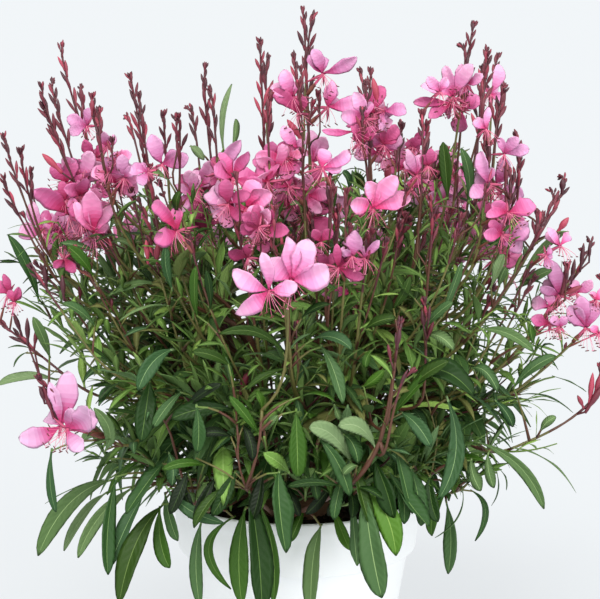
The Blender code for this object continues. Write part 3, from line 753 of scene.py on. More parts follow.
# Single leaves that the front shows: foot, bend and tip as pixels, depth at the
# foot and at the tip, width in pixels, tone.
SHOWN_LEAVES = (
    # over the collar, left to right
    (113, 480, 64, 488, 38, 556, -0.050, -0.060, 22, "dust"), (108, 492, 82, 508, 64, 551, -0.040, -0.050, 12, "hoar"),
    (134, 487, 92, 512, 78, 558, -0.055, -0.070, 15, "pale"), (117, 474, 103, 530, 108, 575, -0.060, -0.080, 19, "fern"),
    (146, 490, 122, 530, 110, 567, -0.066, -0.088, 21, "teal"), (166, 503, 132, 528, 119, 604, -0.070, -0.096, 25, "moss"),
    (160, 506, 156, 545, 170, 568, -0.062, -0.078, 17, "lush"), (165, 492, 168, 520, 178, 541, -0.060, -0.074, 14, "sage"),
    (166, 486, 182, 514, 224, 523, -0.074, -0.084, 14, "teal"), (202, 520, 191, 556, 200, 606, -0.078, -0.092, 15, "sage"),
    (52, 448, 46, 482, 56, 512, -0.085, -0.080, 10, "teal"), (112, 478, 74, 484, 45, 504, -0.020, -0.020, 5, "sage"),
    (225, 487, 206, 500, 194, 528, -0.080, -0.090, 12, "moss"),
    (236, 516, 184, 544, 231, 589, -0.078, -0.094, 11, "lush"), (246, 506, 234, 548, 242, 606, -0.080, -0.096, 22, "lush"),
    (248, 488, 260, 540, 262, 612, -0.084, -0.100, 27, "pine"), (279, 470, 276, 500, 286, 553, -0.088, -0.100, 24, "fern"),
    (258, 500, 280, 550, 273, 604, -0.076, -0.088, 15, "lush"), (322, 524, 310, 550, 311, 612, -0.082, -0.098, 20, "dust"),
    (304, 508, 298, 524, 290, 542, -0.070, -0.080, 12, "lush"), (334, 508, 340, 530, 350, 550, -0.070, -0.080, 13, "spring"),
    (352, 500, 354, 540, 357, 566, -0.078, -0.090, 17, "sage"), (362, 484, 392, 506, 396, 556, -0.088, -0.104, 26, "spring"),
    (364, 490, 370, 550, 382, 598, -0.086, -0.102, 29, "sage"), (388, 470, 404, 500, 429, 527, -0.080, -0.094, 24, "fern"),
    (394, 440, 404, 480, 412, 514, -0.074, -0.084, 20, "fern"), (446, 396, 470, 452, 438, 500, -0.070, -0.088, 19, "teal"),
    (446, 500, 455, 535, 448, 574, -0.060, -0.070, 17, "sage"), (450, 484, 428, 510, 432, 536, -0.055, -0.060, 14, "lush"),
    (462, 486, 470, 520, 435, 538, -0.070, -0.070, 5, "sage"), (470, 490, 498, 504, 475, 541, -0.050, -0.060, 8, "fern"),
    (471, 458, 470, 475, 481, 491, -0.050, -0.056, 15, "dust"), (488, 452, 486, 470, 494, 488, -0.040, -0.046, 12, "dust"),
    (496, 470, 502, 490, 491, 506, -0.040, -0.040, 4, "fern"), (498, 468, 508, 476, 506, 490, -0.030, -0.030, 5, "fern"),
    (474, 441, 528, 456, 544, 509, -0.040, -0.040, 14, "dust"), (510, 448, 553, 452, 576, 493, -0.030, -0.030, 8, "pale"),
    (484, 430, 502, 436, 512, 450, -0.020, -0.020, 5, "fern"), (494, 400, 508, 410, 513, 427, -0.030, -0.030, 13, "teal"),
    # the pale pair and their neighbours in the middle
    (352, 464, 334, 424, 309, 428, -0.104, -0.112, 20, "hoar"), (376, 450, 362, 416, 338, 427, -0.104, -0.112, 18, "hoar"),
    (296, 408, 297, 444, 298, 478, -0.106, -0.108, 21, "lush"), (290, 474, 281, 462, 263, 453, -0.092, -0.104, 15, "fresh"),
    (236, 411, 206, 402, 171, 419, -0.092, -0.096, 21, "pine"), (260, 436, 246, 414, 229, 396, -0.104, -0.110, 11, "lush"),
    (233, 438, 216, 428, 200, 436, -0.090, -0.094, 12, "painted_shade"), (285, 356, 262, 320, 219, 334, -0.110, -0.120, 11, "moss"),
    (312, 340, 334, 330, 352, 350, -0.102, -0.114, 14, "teal"), (320, 345, 334, 362, 343, 404, -0.098, -0.112, 15, "sage"),
    (289, 368, 266, 372, 246, 390, -0.104, -0.110, 10, "moss"), (380, 436, 398, 402, 440, 364, -0.080, -0.090, 12, "lush"),
    (400, 412, 418, 420, 431, 447, -0.084, -0.096, 16, "teal"), (412, 376, 444, 356, 474, 396, -0.080, -0.090, 25, "pine"),
    (379, 469, 388, 466, 392, 479, -0.094, -0.098, 9, "fresh"), (350, 476, 338, 470, 344, 486, -0.090, -0.096, 8, "fern"),
    # left side
    (57, 380, 26, 370, -2, 385, -0.030, -0.030, 12, "hoar"), (50, 358, 44, 336, 33, 317, -0.030, -0.040, 12, "dust"),
    (34, 350, 20, 344, 8, 348, -0.030, -0.030, 5, "sage"), (28, 352, 18, 356, 14, 367, -0.035, -0.035, 6, "fern"),
    (54, 371, 42, 372, 32, 361, -0.034, -0.030, 8, "hoar"), (39, 302, 32, 268, 8, 235, -0.020, -0.024, 13, "fern"),
    (96, 328, 84, 310, 62, 303, -0.050, -0.060, 14, "sage"),
    (174, 349, 148, 356, 138, 391, -0.080, -0.094, 18, "teal"), (170, 306, 146, 302, 118, 322, -0.070, -0.080, 8, "pale"),
    (150, 380, 147, 404, 141, 442, -0.076, -0.090, 23, "pine"), (196, 340, 168, 346, 152, 330, -0.080, -0.084, 8, "moss"),
    (104, 452, 120, 430, 94, 408, -0.060, -0.076, 14, "pale"), (120, 440, 100, 438, 74, 456, -0.060, -0.070, 8, "dust"),
    (134, 452, 150, 430, 184, 400, -0.070, -0.076, 10, "moss"), (206, 466, 186, 458, 162, 470, -0.084, -0.094, 10, "lush"),
    (168, 452, 176, 466, 172, 486, -0.080, -0.092, 14, "teal"), (164, 462, 148, 480, 126, 514, -0.080, -0.094, 20, "fern"),
    (173, 291, 162, 266, 166, 245, -0.074, -0.080, 12, "teal"), (198, 318, 192, 296, 196, 266, -0.072, -0.080, 11, "lush"),
    # right side and top
    (224, 152, 218, 116, 232, 84, 0.010, 0.020, 8, "hoar"), (232, 150, 236, 134, 236, 119, 0.000, 0.010, 9, "pale"),
    (448, 200, 446, 170, 443, 142, -0.050, -0.056, 14, "moss"), (468, 204, 474, 176, 461, 148, -0.056, -0.062, 12, "sage"),
    (552, 376, 574, 382, 586, 392, 0.000, 0.010, 5, "fern"), (480, 330, 508, 326, 534, 352, -0.060, -0.066, 12, "dust"),
    (476, 326, 510, 314, 532, 322, -0.040, -0.040, 5, "fern"), (424, 336, 440, 330, 454, 350, -0.090, -0.096, 14, "pale"),
    (512, 390, 530, 364, 556, 356, -0.030, -0.030, 14, "sage"), (528, 336, 538, 340, 546, 324, 0.000, -0.010, 8, "fern"),
    (440, 320, 452, 292, 462, 262, -0.080, -0.090, 10, "sage"), (490, 290, 500, 264, 504, 254, -0.060, -0.066, 13, "hoar"),
    (516, 290, 532, 276, 552, 270, -0.046, -0.050, 13, "dust"), (520, 282, 540, 244, 566, 232, -0.040, -0.040, 9, "pale"),
    (540, 432, 546, 420, 556, 417, -0.050, -0.054, 10, "pale"), (476, 246, 490, 236, 500, 246, -0.066, -0.074, 10, "fern"),
    (340, 176, 346, 166, 350, 188, 0.020, 0.020, 10, "teal"), (352, 176, 360, 172, 362, 190, 0.030, 0.030, 10, "moss"),
    (210, 312, 212, 290, 206, 270, -0.074, -0.084, 9, "pine"), (232, 300, 226, 284, 212, 276, -0.080, -0.088, 8, "dust"),
    (182, 298, 178, 288, 176, 277, -0.080, -0.086, 8, "spring"), (110, 335, 106, 328, 107, 319, -0.060, -0.066, 8, "spring"),
    (94, 278, 84, 258, 67, 246, -0.050, -0.056, 14, "lush"), (96, 252, 80, 244, 60, 243, -0.040, -0.046, 9, "sage"),
    (170, 182, 160, 172, 146, 172, -0.060, -0.070, 10, "pale"), (190, 146, 196, 148, 204, 160, 0.000, -0.006, 10, "hoar"),
    (178, 213, 174, 203, 180, 191, -0.080, -0.086, 9, "moss"), (422, 331, 436, 312, 453, 302, -0.094, -0.104, 11, "sage"),
    (407, 391, 424, 372, 449, 361, -0.098, -0.108, 14, "moss"), (470, 369, 486, 362, 498, 392, -0.080, -0.088, 13, "sage"),
    (529, 343, 546, 350, 558, 370, -0.050, -0.050, 5, "fern"), (496, 244, 506, 228, 523, 216, -0.076, -0.086, 8, "moss"),
    (542, 239, 556, 231, 569, 232, -0.050, -0.056, 5, "pale"), (509, 285, 528, 278, 543, 284, -0.050, -0.054, 6, "fern"),
    (499, 287, 500, 276, 506, 267, -0.070, -0.078, 9, "dust"), (502, 296, 518, 292, 532, 299, -0.050, -0.054, 4, "fern"),
    (482, 318, 508, 308, 532, 322, -0.060, -0.064, 5, "fern"), (534, 344, 530, 334, 530, 324, -0.040, -0.044, 10, "lush"),
    (540, 350, 546, 342, 554, 346, -0.040, -0.040, 6, "fern"), (362, 387, 374, 382, 384, 370, -0.104, -0.112, 11, "spring"),
    (298, 398, 318, 388, 336, 403, -0.106, -0.114, 8, "lush"), (262, 412, 262, 400, 256, 391, -0.108, -0.114, 9, "spring"),
    (264, 432, 270, 424, 278, 415, -0.106, -0.112, 9, "dust"), (242, 424, 252, 436, 253, 460, -0.100, -0.108, 12, "painted_shade"),
    (255, 465, 240, 452, 222, 447, -0.098, -0.104, 6, "sage"), (342, 434, 356, 440, 358, 464, -0.094, -0.100, 15, "fern"),
    (318, 438, 340, 456, 350, 496, -0.092, -0.098, 16, "fern"), (358, 466, 350, 464, 343, 475, -0.096, -0.100, 9, "dust"),
    (334, 474, 325, 472, 315, 480, -0.090, -0.094, 6, "sage"), (354, 488, 370, 486, 385, 501, -0.092, -0.098, 9, "pine"),
    (343, 487, 314, 478, 287, 487, -0.086, -0.088, 9, "pine"), (372, 350, 364, 358, 366, 368, -0.104, -0.110, 9, "lush"),
    (334, 404, 336, 412, 340, 420, -0.104, -0.108, 10, "dust"), (300, 486, 316, 482, 330, 494, -0.080, -0.084, 8, "pine"),
    (416, 300, 404, 290, 396, 274, -0.098, -0.106, 12, "moss"), (392, 310, 404, 296, 410, 276, -0.098, -0.104, 11, "moss"),
    (364, 330, 378, 318, 396, 318, -0.104, -0.112, 12, "moss"), (230, 366, 214, 352, 192, 352, -0.096, -0.104, 12, "moss"),
    (186, 408, 200, 392, 222, 384, -0.096, -0.104, 11, "painted_shade"), (300, 320, 312, 306, 330, 304, -0.110, -0.116, 9, "pine"),
    (183, 391, 166, 404, 153, 428, -0.084, -0.092, 12, "sage"), (196, 404, 201, 428, 197, 453, -0.088, -0.092, 15, "fern"),
    (236, 470, 226, 494, 212, 516, -0.076, -0.086, 16, "pine"), (216, 476, 204, 498, 194, 524, -0.072, -0.082, 14, "painted_shade"),
    (262, 468, 262, 494, 252, 520, -0.076, -0.086, 16, "painted_shade"), (372, 456, 386, 482, 394, 518, -0.084, -0.094, 22, "pine"),
    (356, 468, 360, 496, 370, 524, -0.080, -0.090, 17, "moss"), (410, 466, 420, 494, 421, 526, -0.078, -0.090, 19, "fern"),
    # The near-black night leaves just over the rim, here and below, are painted shade: they stand where the crown
    # shades the compost.
    (398, 474, 406, 500, 404, 524, -0.074, -0.084, 14, "fern"), (188, 470, 182, 490, 170, 514, -0.074, -0.084, 14, "painted_shade"),
    (204, 474, 214, 494, 212, 514, -0.066, -0.074, 13, "painted_shade"), (176, 476, 186, 494, 192, 512, -0.066, -0.074, 13, "painted_shade"),
    (330, 486, 322, 500, 306, 514, -0.066, -0.074, 12, "painted_shade"), (352, 482, 340, 500, 328, 516, -0.066, -0.074, 13, "painted_shade"),
    (288, 484, 292, 500, 300, 516, -0.062, -0.070, 12, "painted_shade"), (368, 486, 372, 504, 366, 520, -0.064, -0.074, 13, "painted_shade"),
    (344, 480, 356, 496, 352, 518, -0.062, -0.072, 13, "pine"), (518, 395, 548, 390, 573, 413, -0.030, -0.030, 6, "fern"),
    (430, 474, 428, 500, 438, 522, -0.070, -0.080, 15, "pine"), (110, 460, 92, 454, 75, 462, -0.050, -0.056, 7, "sage"),
    (344, 474, 336, 496, 334, 520, -0.074, -0.084, 13, "fern"), (316, 470, 312, 480, 318, 500, -0.080, -0.086, 12, "pine"),
)

# Stems that the front shows low down: pixels from foot to end, the depth at each, radius in millimetres, slot.
SHOWN_STEMS = (
    (((280, 520), (262, 504), (246, 488)), (-0.040, -0.080, -0.112), 1.3, 0),
    (((246, 488), (254, 466), (260, 440), (262, 410)), (-0.112, -0.120, -0.122, -0.118), 0.85, 1),
    (((246, 488), (238, 464), (238, 436), (236, 410)), (-0.112, -0.118, -0.116, -0.108), 0.6, 1),
    (((246, 488), (222, 470), (196, 458)), (-0.112, -0.114, -0.106), 0.6, 3),
    (((276, 522), (296, 514), (318, 503), (343, 490), (356, 481), (370, 463), (380, 442)), (-0.036, -0.066, -0.090, -0.112, -0.120, -0.124, -0.126), 1.45, 1),
    (((262, 410), (276, 396), (284, 376), (288, 340), (288, 306), (286, 284)), (-0.118, -0.120, -0.122, -0.124, -0.124, -0.124), 0.8, 3),
    (((380, 442), (388, 410), (394, 372), (398, 334)), (-0.126, -0.124, -0.118, -0.108), 1.0, 1),
    (((180, 470), (170, 430), (152, 400), (140, 372)), (-0.080, -0.092, -0.090, -0.084), 0.7, 1),
    (((430, 480), (438, 440), (430, 410), (422, 380)), (-0.078, -0.084, -0.088, -0.090), 0.5, 3),
)

STEM_SLOTS = ("bark", "red", "wine", "olive", "green")



# ------------------------------------------------------------------ the outline
# Where the plant's leaves may stand, as a polygon in pixels, and the pot's own outline.
LEAFY = (
    (-8, 230), (14, 226), (28, 236), (44, 214), (62, 222), (74, 204), (96, 212), (120, 196), (146, 186), (172, 198),
    (198, 180), (218, 158), (232, 146), (246, 172), (262, 172), (284, 184), (306, 176), (330, 178), (342, 166),
    (360, 166), (372, 180), (396, 168), (420, 160), (436, 150), (452, 145), (470, 148), (488, 176), (506, 192), (524, 212),
    (548, 226), (566, 240), (580, 266), (596, 300), (600, 330), (584, 352), (560, 366), (566, 392), (556, 412),
    (548, 432), (560, 448), (556, 468), (528, 462), (510, 470), (490, 480), (474, 494), (440, 506), (410, 518),
    (388, 516), (364, 518), (338, 516), (330, 502), (296, 500), (284, 518), (244, 518), (214, 520), (186, 518), (160, 514),
    (132, 512), (110, 502), (86, 506), (92, 484), (82, 468), (66, 452), (84, 436), (92, 414), (76, 396), (52, 388),
    (20, 380), (0, 372), (6, 352), (14, 336), (-6, 322), (-12, 280),
)
POT_SIDE = ((176, 522), (424, 522), (416, 574), (404, 640), (386, 716), (214, 716), (196, 640), (184, 574))


def inside(polygon, u, v):
    odd = False
    n = len(polygon)
    for i in range(n):
        (x0, y0), (x1, y1) = polygon[i], polygon[(i + 1) % n]
        if (y0 > v) != (y1 > v) and u < (x1 - x0) * (v - y0) / (y1 - y0) + x0:
            odd = not odd
    return odd


def allowed(p):
    if abs(p[0]) > 0.166 or p[1] > 0.160 or p[1] < -0.122 or p[2] < 0.04:
        return False
    r = math.hypot(p[0], p[1])
    if r < 0.071 and p[2] < 0.117:
        return False
    u, v = pixel(p)
    if inside(LEAFY, u, v):
        return True
    return p[1] > 0.03 and inside(POT_SIDE, u, v)


# ------------------------------------------------------------------ the plant
class Plant:
    def __init__(self):
        self.dice = random.Random(5847)
        self.leaves = Leaves("leaves", leaf_materials())
        self.petals = Leaves("petals", petal_materials())
        self.parts = Leaves("flower_parts", [
            skin("flower_filament", (232, 118, 154), (0.45, 0.6)),
            skin("flower_anther", (104, 44, 48), (0.6, 0.85), strength=0.5),
            skin("flower_sepal", (196, 84, 120), (0.45, 0.65)),
            skin("flower_tube", (204, 82, 124), (0.45, 0.65)),
            skin("flower_style", (236, 150, 178), (0.45, 0.6)),
            skin("flower_ovary", (132, 74, 62), (0.5, 0.7)),
        ])
        self.buds = Leaves("buds", [
            skin("bud_dark", (76, 32, 42), (0.38, 0.58), scale=1600.0),
            skin("bud_wine", (108, 40, 54), (0.38, 0.58), scale=1600.0),
            skin("bud_red", (142, 52, 70), (0.38, 0.58), scale=1600.0),
            skin("bud_coral", (176, 66, 88), (0.38, 0.58), scale=1600.0),
            skin("bud_green", (112, 78, 58), (0.45, 0.65), scale=1600.0),
            skin("bud_tip", (108, 42, 52), (0.40, 0.60), scale=1600.0),
        ])
        self.stems = Leaves("stems", [
            skin("stem_bark", (88, 62, 46), (0.6, 0.85), scale=500.0, strength=0.5, distance=0.0004),
            skin("stem_red", (88, 52, 36), (0.42, 0.62), scale=700.0, strength=0.35, distance=0.0003),
            skin("stem_wine", (84, 36, 42), (0.40, 0.60), scale=700.0, strength=0.3, distance=0.0002),
            skin("stem_olive", (102, 98, 50), (0.42, 0.62), scale=700.0, strength=0.3, distance=0.0002),
            skin("stem_green", (98, 124, 54), (0.42, 0.62), scale=700.0, strength=0.3, distance=0.0002),
        ])
        self.marks = []
        self.mark_array = None

    # -- stems
    def draw(self, path, r0, r1, slots, sides=7, joints=True):
        """A stem over the path, swollen a little at its joints, its colour changing along it."""
        path = resample(np.asarray(path, float), 0.0045 if r0 > 0.0009 else 0.006)
        n = len(path)
        t = np.linspace(0, 1, n)
        radius = r0 + (r1 - r0) * t**0.7
        if joints:
            radius = radius * (1 + 0.10 * np.sin(np.arange(n) * 2.1 + self.dice.uniform(0, 6)))
        wobble = 1 + 0.05 * np.cos(np.arange(sides)[None] * 2.4 + np.arange(n)[:, None] * 0.9)
        at = np.clip((t[:-1] * len(slots)).astype(int), 0, len(slots) - 1)
        tube(self.stems.store(), path, radius, sides, np.asarray(slots)[at], wobble)
        return path

    def mark(self, path, weight=0.0):
        """Points that something later on can grow from."""
        self.marks.append(np.asarray(path, float))
        self.mark_array = None

    def nearest(self, p, drop=0.006):
        """The point on a stem that something at p best grows from: near it, and lower rather than higher."""
        if self.mark_array is None:
            self.mark_array = np.concatenate(self.marks)
        gap = self.mark_array - p
        cost = np.linalg.norm(gap, axis=1) + np.maximum(gap[:, 2] + drop, 0) * 1.5
        return self.mark_array[int(np.argmin(cost))]

    # -- leaves
    def one_leaf(self, base, way, out, length, tone, droop, broad=False, ratio=None):
        dice = self.dice
        if abs(base[0]) > 0.098 and int(abs(base[0] + base[2]) * 1e5) % 10 < 6:
            tone = PALER.get(tone, tone)
        # Low leaves at the front centre, under the overhanging crown, swap to darker tones: painted shade.
        if base[1] < -0.05 and base[2] < 0.17 and abs(base[0]) < 0.085:
            tone = PAINTED_SHADE_TONES.get(tone, tone)
        control = base + unit(way + Z * 0.25) * length * 0.48
        tip = base + unit(way + out * 0.25) * length * 0.96 - Z * length * droop
        if not allowed(tip):
            length *= 0.62
            control = base + unit(way + Z * 0.25) * length * 0.48
            tip = base + unit(way + out * 0.25) * length * 0.96 - Z * length * droop
            if not allowed(tip):
                return False
        half = length * (ratio or dice.uniform(0.078, 0.120))
        half *= 0.64 if base[0] > 0.092 else 0.92 if base[0] < -0.105 else 1.0
        half *= 0.74 if base[2] > 0.245 else 1.0
        rows = 10 if length > 0.026 else 8 if length > 0.015 else 6
        self.leaves.leaf(base, control, tip, half, tone, dice, roll=dice.uniform(-0.6, 0.6), fold=dice.uniform(0.08, 0.32), broad=broad or length > 0.026, rows=rows)
        return True

    def clothe(self, path, start, stop, low, high, spacing, tones, twigs=0.0, spread=(34, 62), droop=(0.0, 0.30)):
        """Leaves in a spiral up a stem, with leafy twigs from some of their axils."""
        dice = self.dice
        gap = np.linalg.norm(np.diff(path, axis=0), axis=1)
        far = np.concatenate([[0], np.cumsum(gap)])
        total = far[-1]
        s, turn = start * total, dice.uniform(0, 6.28)
        end = stop * total
        while s < end:
            p = np.array([np.interp(s, far, path[:, i]) for i in range(3)])
            q = np.array([np.interp(min(s + 0.002, total), far, path[:, i]) for i in range(3)])
            o = np.array([np.interp(max(s - 0.002, 0), far, path[:, i]) for i in range(3)])
            run = unit(q - o)
            e1 = unit(np.cross(run, [0.2, 0.4, 0.9]) if abs(run[2]) < 0.9 else np.cross(run, [1.0, 0.1, 0.0]))
            e2 = np.cross(run, e1)
            out = math.cos(turn) * e1 + math.sin(turn) * e2
            share = (s - start * total) / max(end - start * total, 1e-6)
            length = (low + (high - low) * share) * dice.uniform(0.72, 1.18)
            lean = math.radians(dice.uniform(*spread))
            way = run * math.cos(lean) + out * math.sin(lean)
            if way[2] < -0.2:
                way[2] = -0.2
            tone = dice.choice(tones)
            self.one_leaf(p, unit(way), out, length, tone, dice.uniform(*droop))
            if dice.random() < twigs:
                self.twig(p, run, out, length, tones)
            turn += 2.39996 + dice.uniform(-0.3, 0.3)
            s += spacing * dice.uniform(0.75, 1.3)

    def twig(self, p, run, out, length, tones):
        dice = self.dice
        size = length * dice.uniform(0.7, 1.5)
        lean = math.radians(dice.uniform(26, 44))
        way = unit(run * math.cos(lean) + out * math.sin(lean) + Z * 0.2)
        end = p + way * size
        if not allowed(end):
            return
        path = bezier((p, p + unit(way + out * 0.25) * size * 0.5, end + Z * size * 0.06), 6)
        self.draw(path, 0.0006, 0.00035, (dice.choice((2, 3, 4)), 4), sides=5, joints=False)
        self.clothe(path, 0.25, 1.0, length * 0.72, length * 0.50, 0.0072, tones, spread=(20, 52))
        # the tuft at its end
        for i in range(3):
            a = 2.1 * i + dice.uniform(0, 1)
            side = unit(np.cross(way, [0.3, 0.2, 0.9]))
            side2 = np.cross(way, side)
            way2 = unit(way + (math.cos(a) * side + math.sin(a) * side2) * dice.uniform(0.15, 0.4))
            self.one_leaf(path[-1], way2, way2, length * dice.uniform(0.35, 0.5), dice.choice(tones), 0.0)

    def set_leaf(self, row, thickness=0.0005):
        """One leaf whose place is known, on a short stalk from the nearest stem."""
        u0, v0, u1, v1, u2, v2, y0, y2, wide, tone = row
        base, tip = spot(u0, v0, y0), spot(u2, v2, y2)
        control = spot(u1, v1, (y0 + y2) / 2 - 0.004)
        length = np.linalg.norm(tip - base)
        half = wide * 0.5 * 0.00050
        self.leaves.leaf(base, control, tip, half, tone, self.dice, roll=self.dice.uniform(-0.25, 0.25),
                         fold=self.dice.uniform(0.30, 0.62), face=None if wide < 8 else unit([self.dice.uniform(-0.5, 0.5), -0.80, self.dice.uniform(0.25, 0.75)]), broad=length > 0.02, rows=20 if length > 0.03 else 14, petiole=0.06, blunt=self.dice.uniform(0.50, 0.68))
        foot = self.nearest(base, 0.010)
        way = unit(base - foot + Z * 0.004)
        gap = np.linalg.norm(base - foot)
        middle = (foot + base) / 2 + Z * min(0.006, gap * 0.2)
        self.draw(bezier((foot, middle, base + unit(control - base) * 0.0015), 6), 0.0009 if gap > 0.02 else 0.0007, 0.00045, (1, 3, 4), sides=6, joints=False)

    # -- racemes
    def raceme(self, path, zone):
        """Buds up the end of a stalk: long ones below, a tight cone of small ones at the tip."""
        dice = self.dice
        gap = np.linalg.norm(np.diff(path, axis=0), axis=1)
        far = np.concatenate([[0], np.cumsum(gap)])
        total = far[-1]

        def at(s):
            return np.array([np.interp(s, far, path[:, i]) for i in range(3)])

        turn = dice.uniform(0, 6.28)
        places = [(0.0004 * i, 0.0026 + 0.0005 * i, 5 + 3.0 * i) for i in range(5)]
        d = 0.0035
        while d < zone:
            share = min(1.0, d / 0.026)
            places.append((d, 0.0048 + 0.0060 * share, 8 + 7 * share))
            d += (0.0022 + 0.0034 * share) * dice.uniform(0.75, 1.3)
        for d, length, lean in places:
            p, q = at(total - d), at(max(total - d - 0.002, 0))
            run = unit(p - q)
            e1 = unit(np.cross(run, [0.1, 1.0, 0.2]))
            e2 = np.cross(run, e1)
            out = math.cos(turn) * e1 + math.sin(turn) * e2
            lean = math.radians(lean + dice.uniform(-5, 7))
            way = unit(run * math.cos(lean) + out * math.sin(lean) + Z * 0.05)
            length *= dice.uniform(0.85, 1.15)
            radius = (0.00048 + length * 0.058) * dice.uniform(0.88, 1.1)
            pick = dice.random()
            share = min(1.0, d / 0.03)
            slot = 0 if pick < 0.46 - 0.16 * share else 1 if pick < 0.86 - 0.16 * share else 2 if pick < 0.99 - 0.05 * share else 3
            bud(self.buds.store(), p + out * 0.0004, way, length, radius, slot, 1 if slot < 2 else 2, dice, bow=-0.10)
            turn += 2.39996 + dice.uniform(-0.25, 0.25)
        return total

    def pods(self, path, low, high, spacing=0.007):
        """Spent ovaries and their bracts down the stalk, below the flowers."""
        dice = self.dice
        gap = np.linalg.norm(np.diff(path, axis=0), axis=1)
        far = np.concatenate([[0], np.cumsum(gap)])
        s, turn = low, dice.uniform(0, 6.28)
        while s < high:
            p = np.array([np.interp(s, far, path[:, i]) for i in range(3)])
            q = np.array([np.interp(s + 0.002, far, path[:, i]) for i in range(3)])
            run = unit(q - p)
            e1 = unit(np.cross(run, [0.1, 1.0, 0.2]))
            e2 = np.cross(run, e1)
            out = math.cos(turn) * e1 + math.sin(turn) * e2
            way = unit(run * 0.9 + out * 0.5)
            if dice.random() < 0.6:
                bud(self.buds.store(), p, way, dice.uniform(0.004, 0.0065), dice.uniform(0.0007, 0.0010), dice.choice((1, 2, 4, 4)), 4, dice)
            else:
                self.one_leaf(p, way, out, dice.uniform(0.006, 0.011), dice.choice(("olive", "mid", "deep")), 0.05, ratio=0.10)
            turn += 2.39996
            s += spacing * dice.uniform(0.6, 1.4)

    def shoot(self, origin, path, zone, tones, low, high, twigs, bare=0.010, r0=0.0013):
        """A whole shoot: from its origin on a stem, through the leaves, to its raceme."""
        dice = self.dice
        foot = path[0]
        first = unit(path[1] - path[0])
        reach = np.linalg.norm(foot - origin)
        low_part = bezier((origin, origin + unit(unit(foot - origin) * 0.6 + Z * 0.5) * reach * 0.36, foot - first * reach * 0.36, foot), 14)
        whole = np.concatenate([low_part[:-1], path])
        whole = resample(whole, 0.004)
        n_low = length_of(low_part) / length_of(whole)
        ends = max(1, round(12 * (zone + 0.008) / length_of(whole)))
        body = dice.choice(((0, 1, 1, 1), (1, 3, 3, 1), (1, 1, 3, 3), (3, 3, 3, 3), (0, 1, 3, 1)))
        base = [body[i * 4 // (12 - ends)] for i in range(12 - ends)] + [2] * ends
        self.draw(whole, r0, 0.00050, base)
        self.mark(whole)
        total = length_of(whole)
        stop = max(0.2, 1.0 - (zone + bare) / total)
        self.clothe(whole, 0.16, min(stop, n_low + 0.25), low, high, 0.0098, tones, twigs=twigs)
        if stop > n_low + 0.25:
            self.pods(whole, (n_low + 0.20) * total, stop * total)
        self.raceme(whole, zone)
        return whole

    # -- flowers
    def bloom(self, centre, foot, face, up, size, tone, known=None):
        flower(self.petals.store(), self.parts.store(), foot, centre, face, up, size, tone, self.dice, known)

    def bloom_at(self, u, v, turn, tone, tips, y):
        """A flower whose petals point at known pixels."""
        dice = self.dice
        centre = spot(u, v, y)
        b = math.radians(turn + dice.uniform(-8, 8))
        face = unit(np.array([math.sin(b), -math.cos(b), dice.uniform(-0.10, 0.25)]))
        scale = (centre - EYE) @ FORWARD / FOCAL_PX
        known, mean = [], Z * 0.010
        for tu, tv, wide in tips:
            out = spot(tu, tv, y) - centre
            out = out - np.array([0, 1.0, 0]) * ((out @ face) / face[1]) + face * dice.gauss(0, 0.002)
            known.append((out, wide * scale / 2))
            mean = mean + out
        size = max(0.0085, float(np.mean([np.linalg.norm(k[0]) for k in known])))
        foot = self.nearest(centre + np.array([0, 0.004, 0]), 0.009)
        self.bloom(centre, foot, face, mean, min(size, 0.017), tone, known)


PALER = {"deep": "sage", "blue": "pale", "mid": "fresh", "olive": "dust", "fern": "sage", "lush": "dust", "fresh": "grass"}
# Darker tones for the low front leaves under the crown: painted shade.
PAINTED_SHADE_TONES = {"fresh": "lush", "grass": "mid"}
GREENS_TOP = ("mid", "pine", "fresh", "olive", "mid", "grass", "moss", "dust")
GREENS_MID = ("mid", "deep", "deep", "mid", "fresh", "fresh", "blue", "mid", "grass", "olive")
GREENS_LOW = ("deep", "blue", "deep", "mid", "mid", "lush", "fern", "fresh")
HEART = np.array([0.0, 0.0, 0.128])


def main_stems():
    """The CAD's stems, each as its foot on the root crown and the middle of its far end."""
    found = []
    for name in sorted(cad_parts):
        if not name.startswith("stem_"):
            continue
        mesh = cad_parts[name].data
        co = np.empty(len(mesh.vertices) * 3, np.float32)
        mesh.vertices.foreach_get("co", co)
        co = co.reshape(-1, 3).astype(float)
        order = np.argsort(co[:, 2])
        foot = co[order[:9]].mean(0)
        gap = np.linalg.norm(co - foot, axis=1)
        end = co[np.argsort(gap)[-9:]].mean(0)
        found.append((name, foot, end))
    return found


def dome(z):
    """How far from the pot's axis the leaves reach at this height."""
    return float(np.interp(z, (0.11, 0.13, 0.16, 0.20, 0.24, 0.27, 0.30, 0.325, 0.34), (0.085, 0.105, 0.135, 0.152, 0.146, 0.128, 0.100, 0.068, 0.03)))


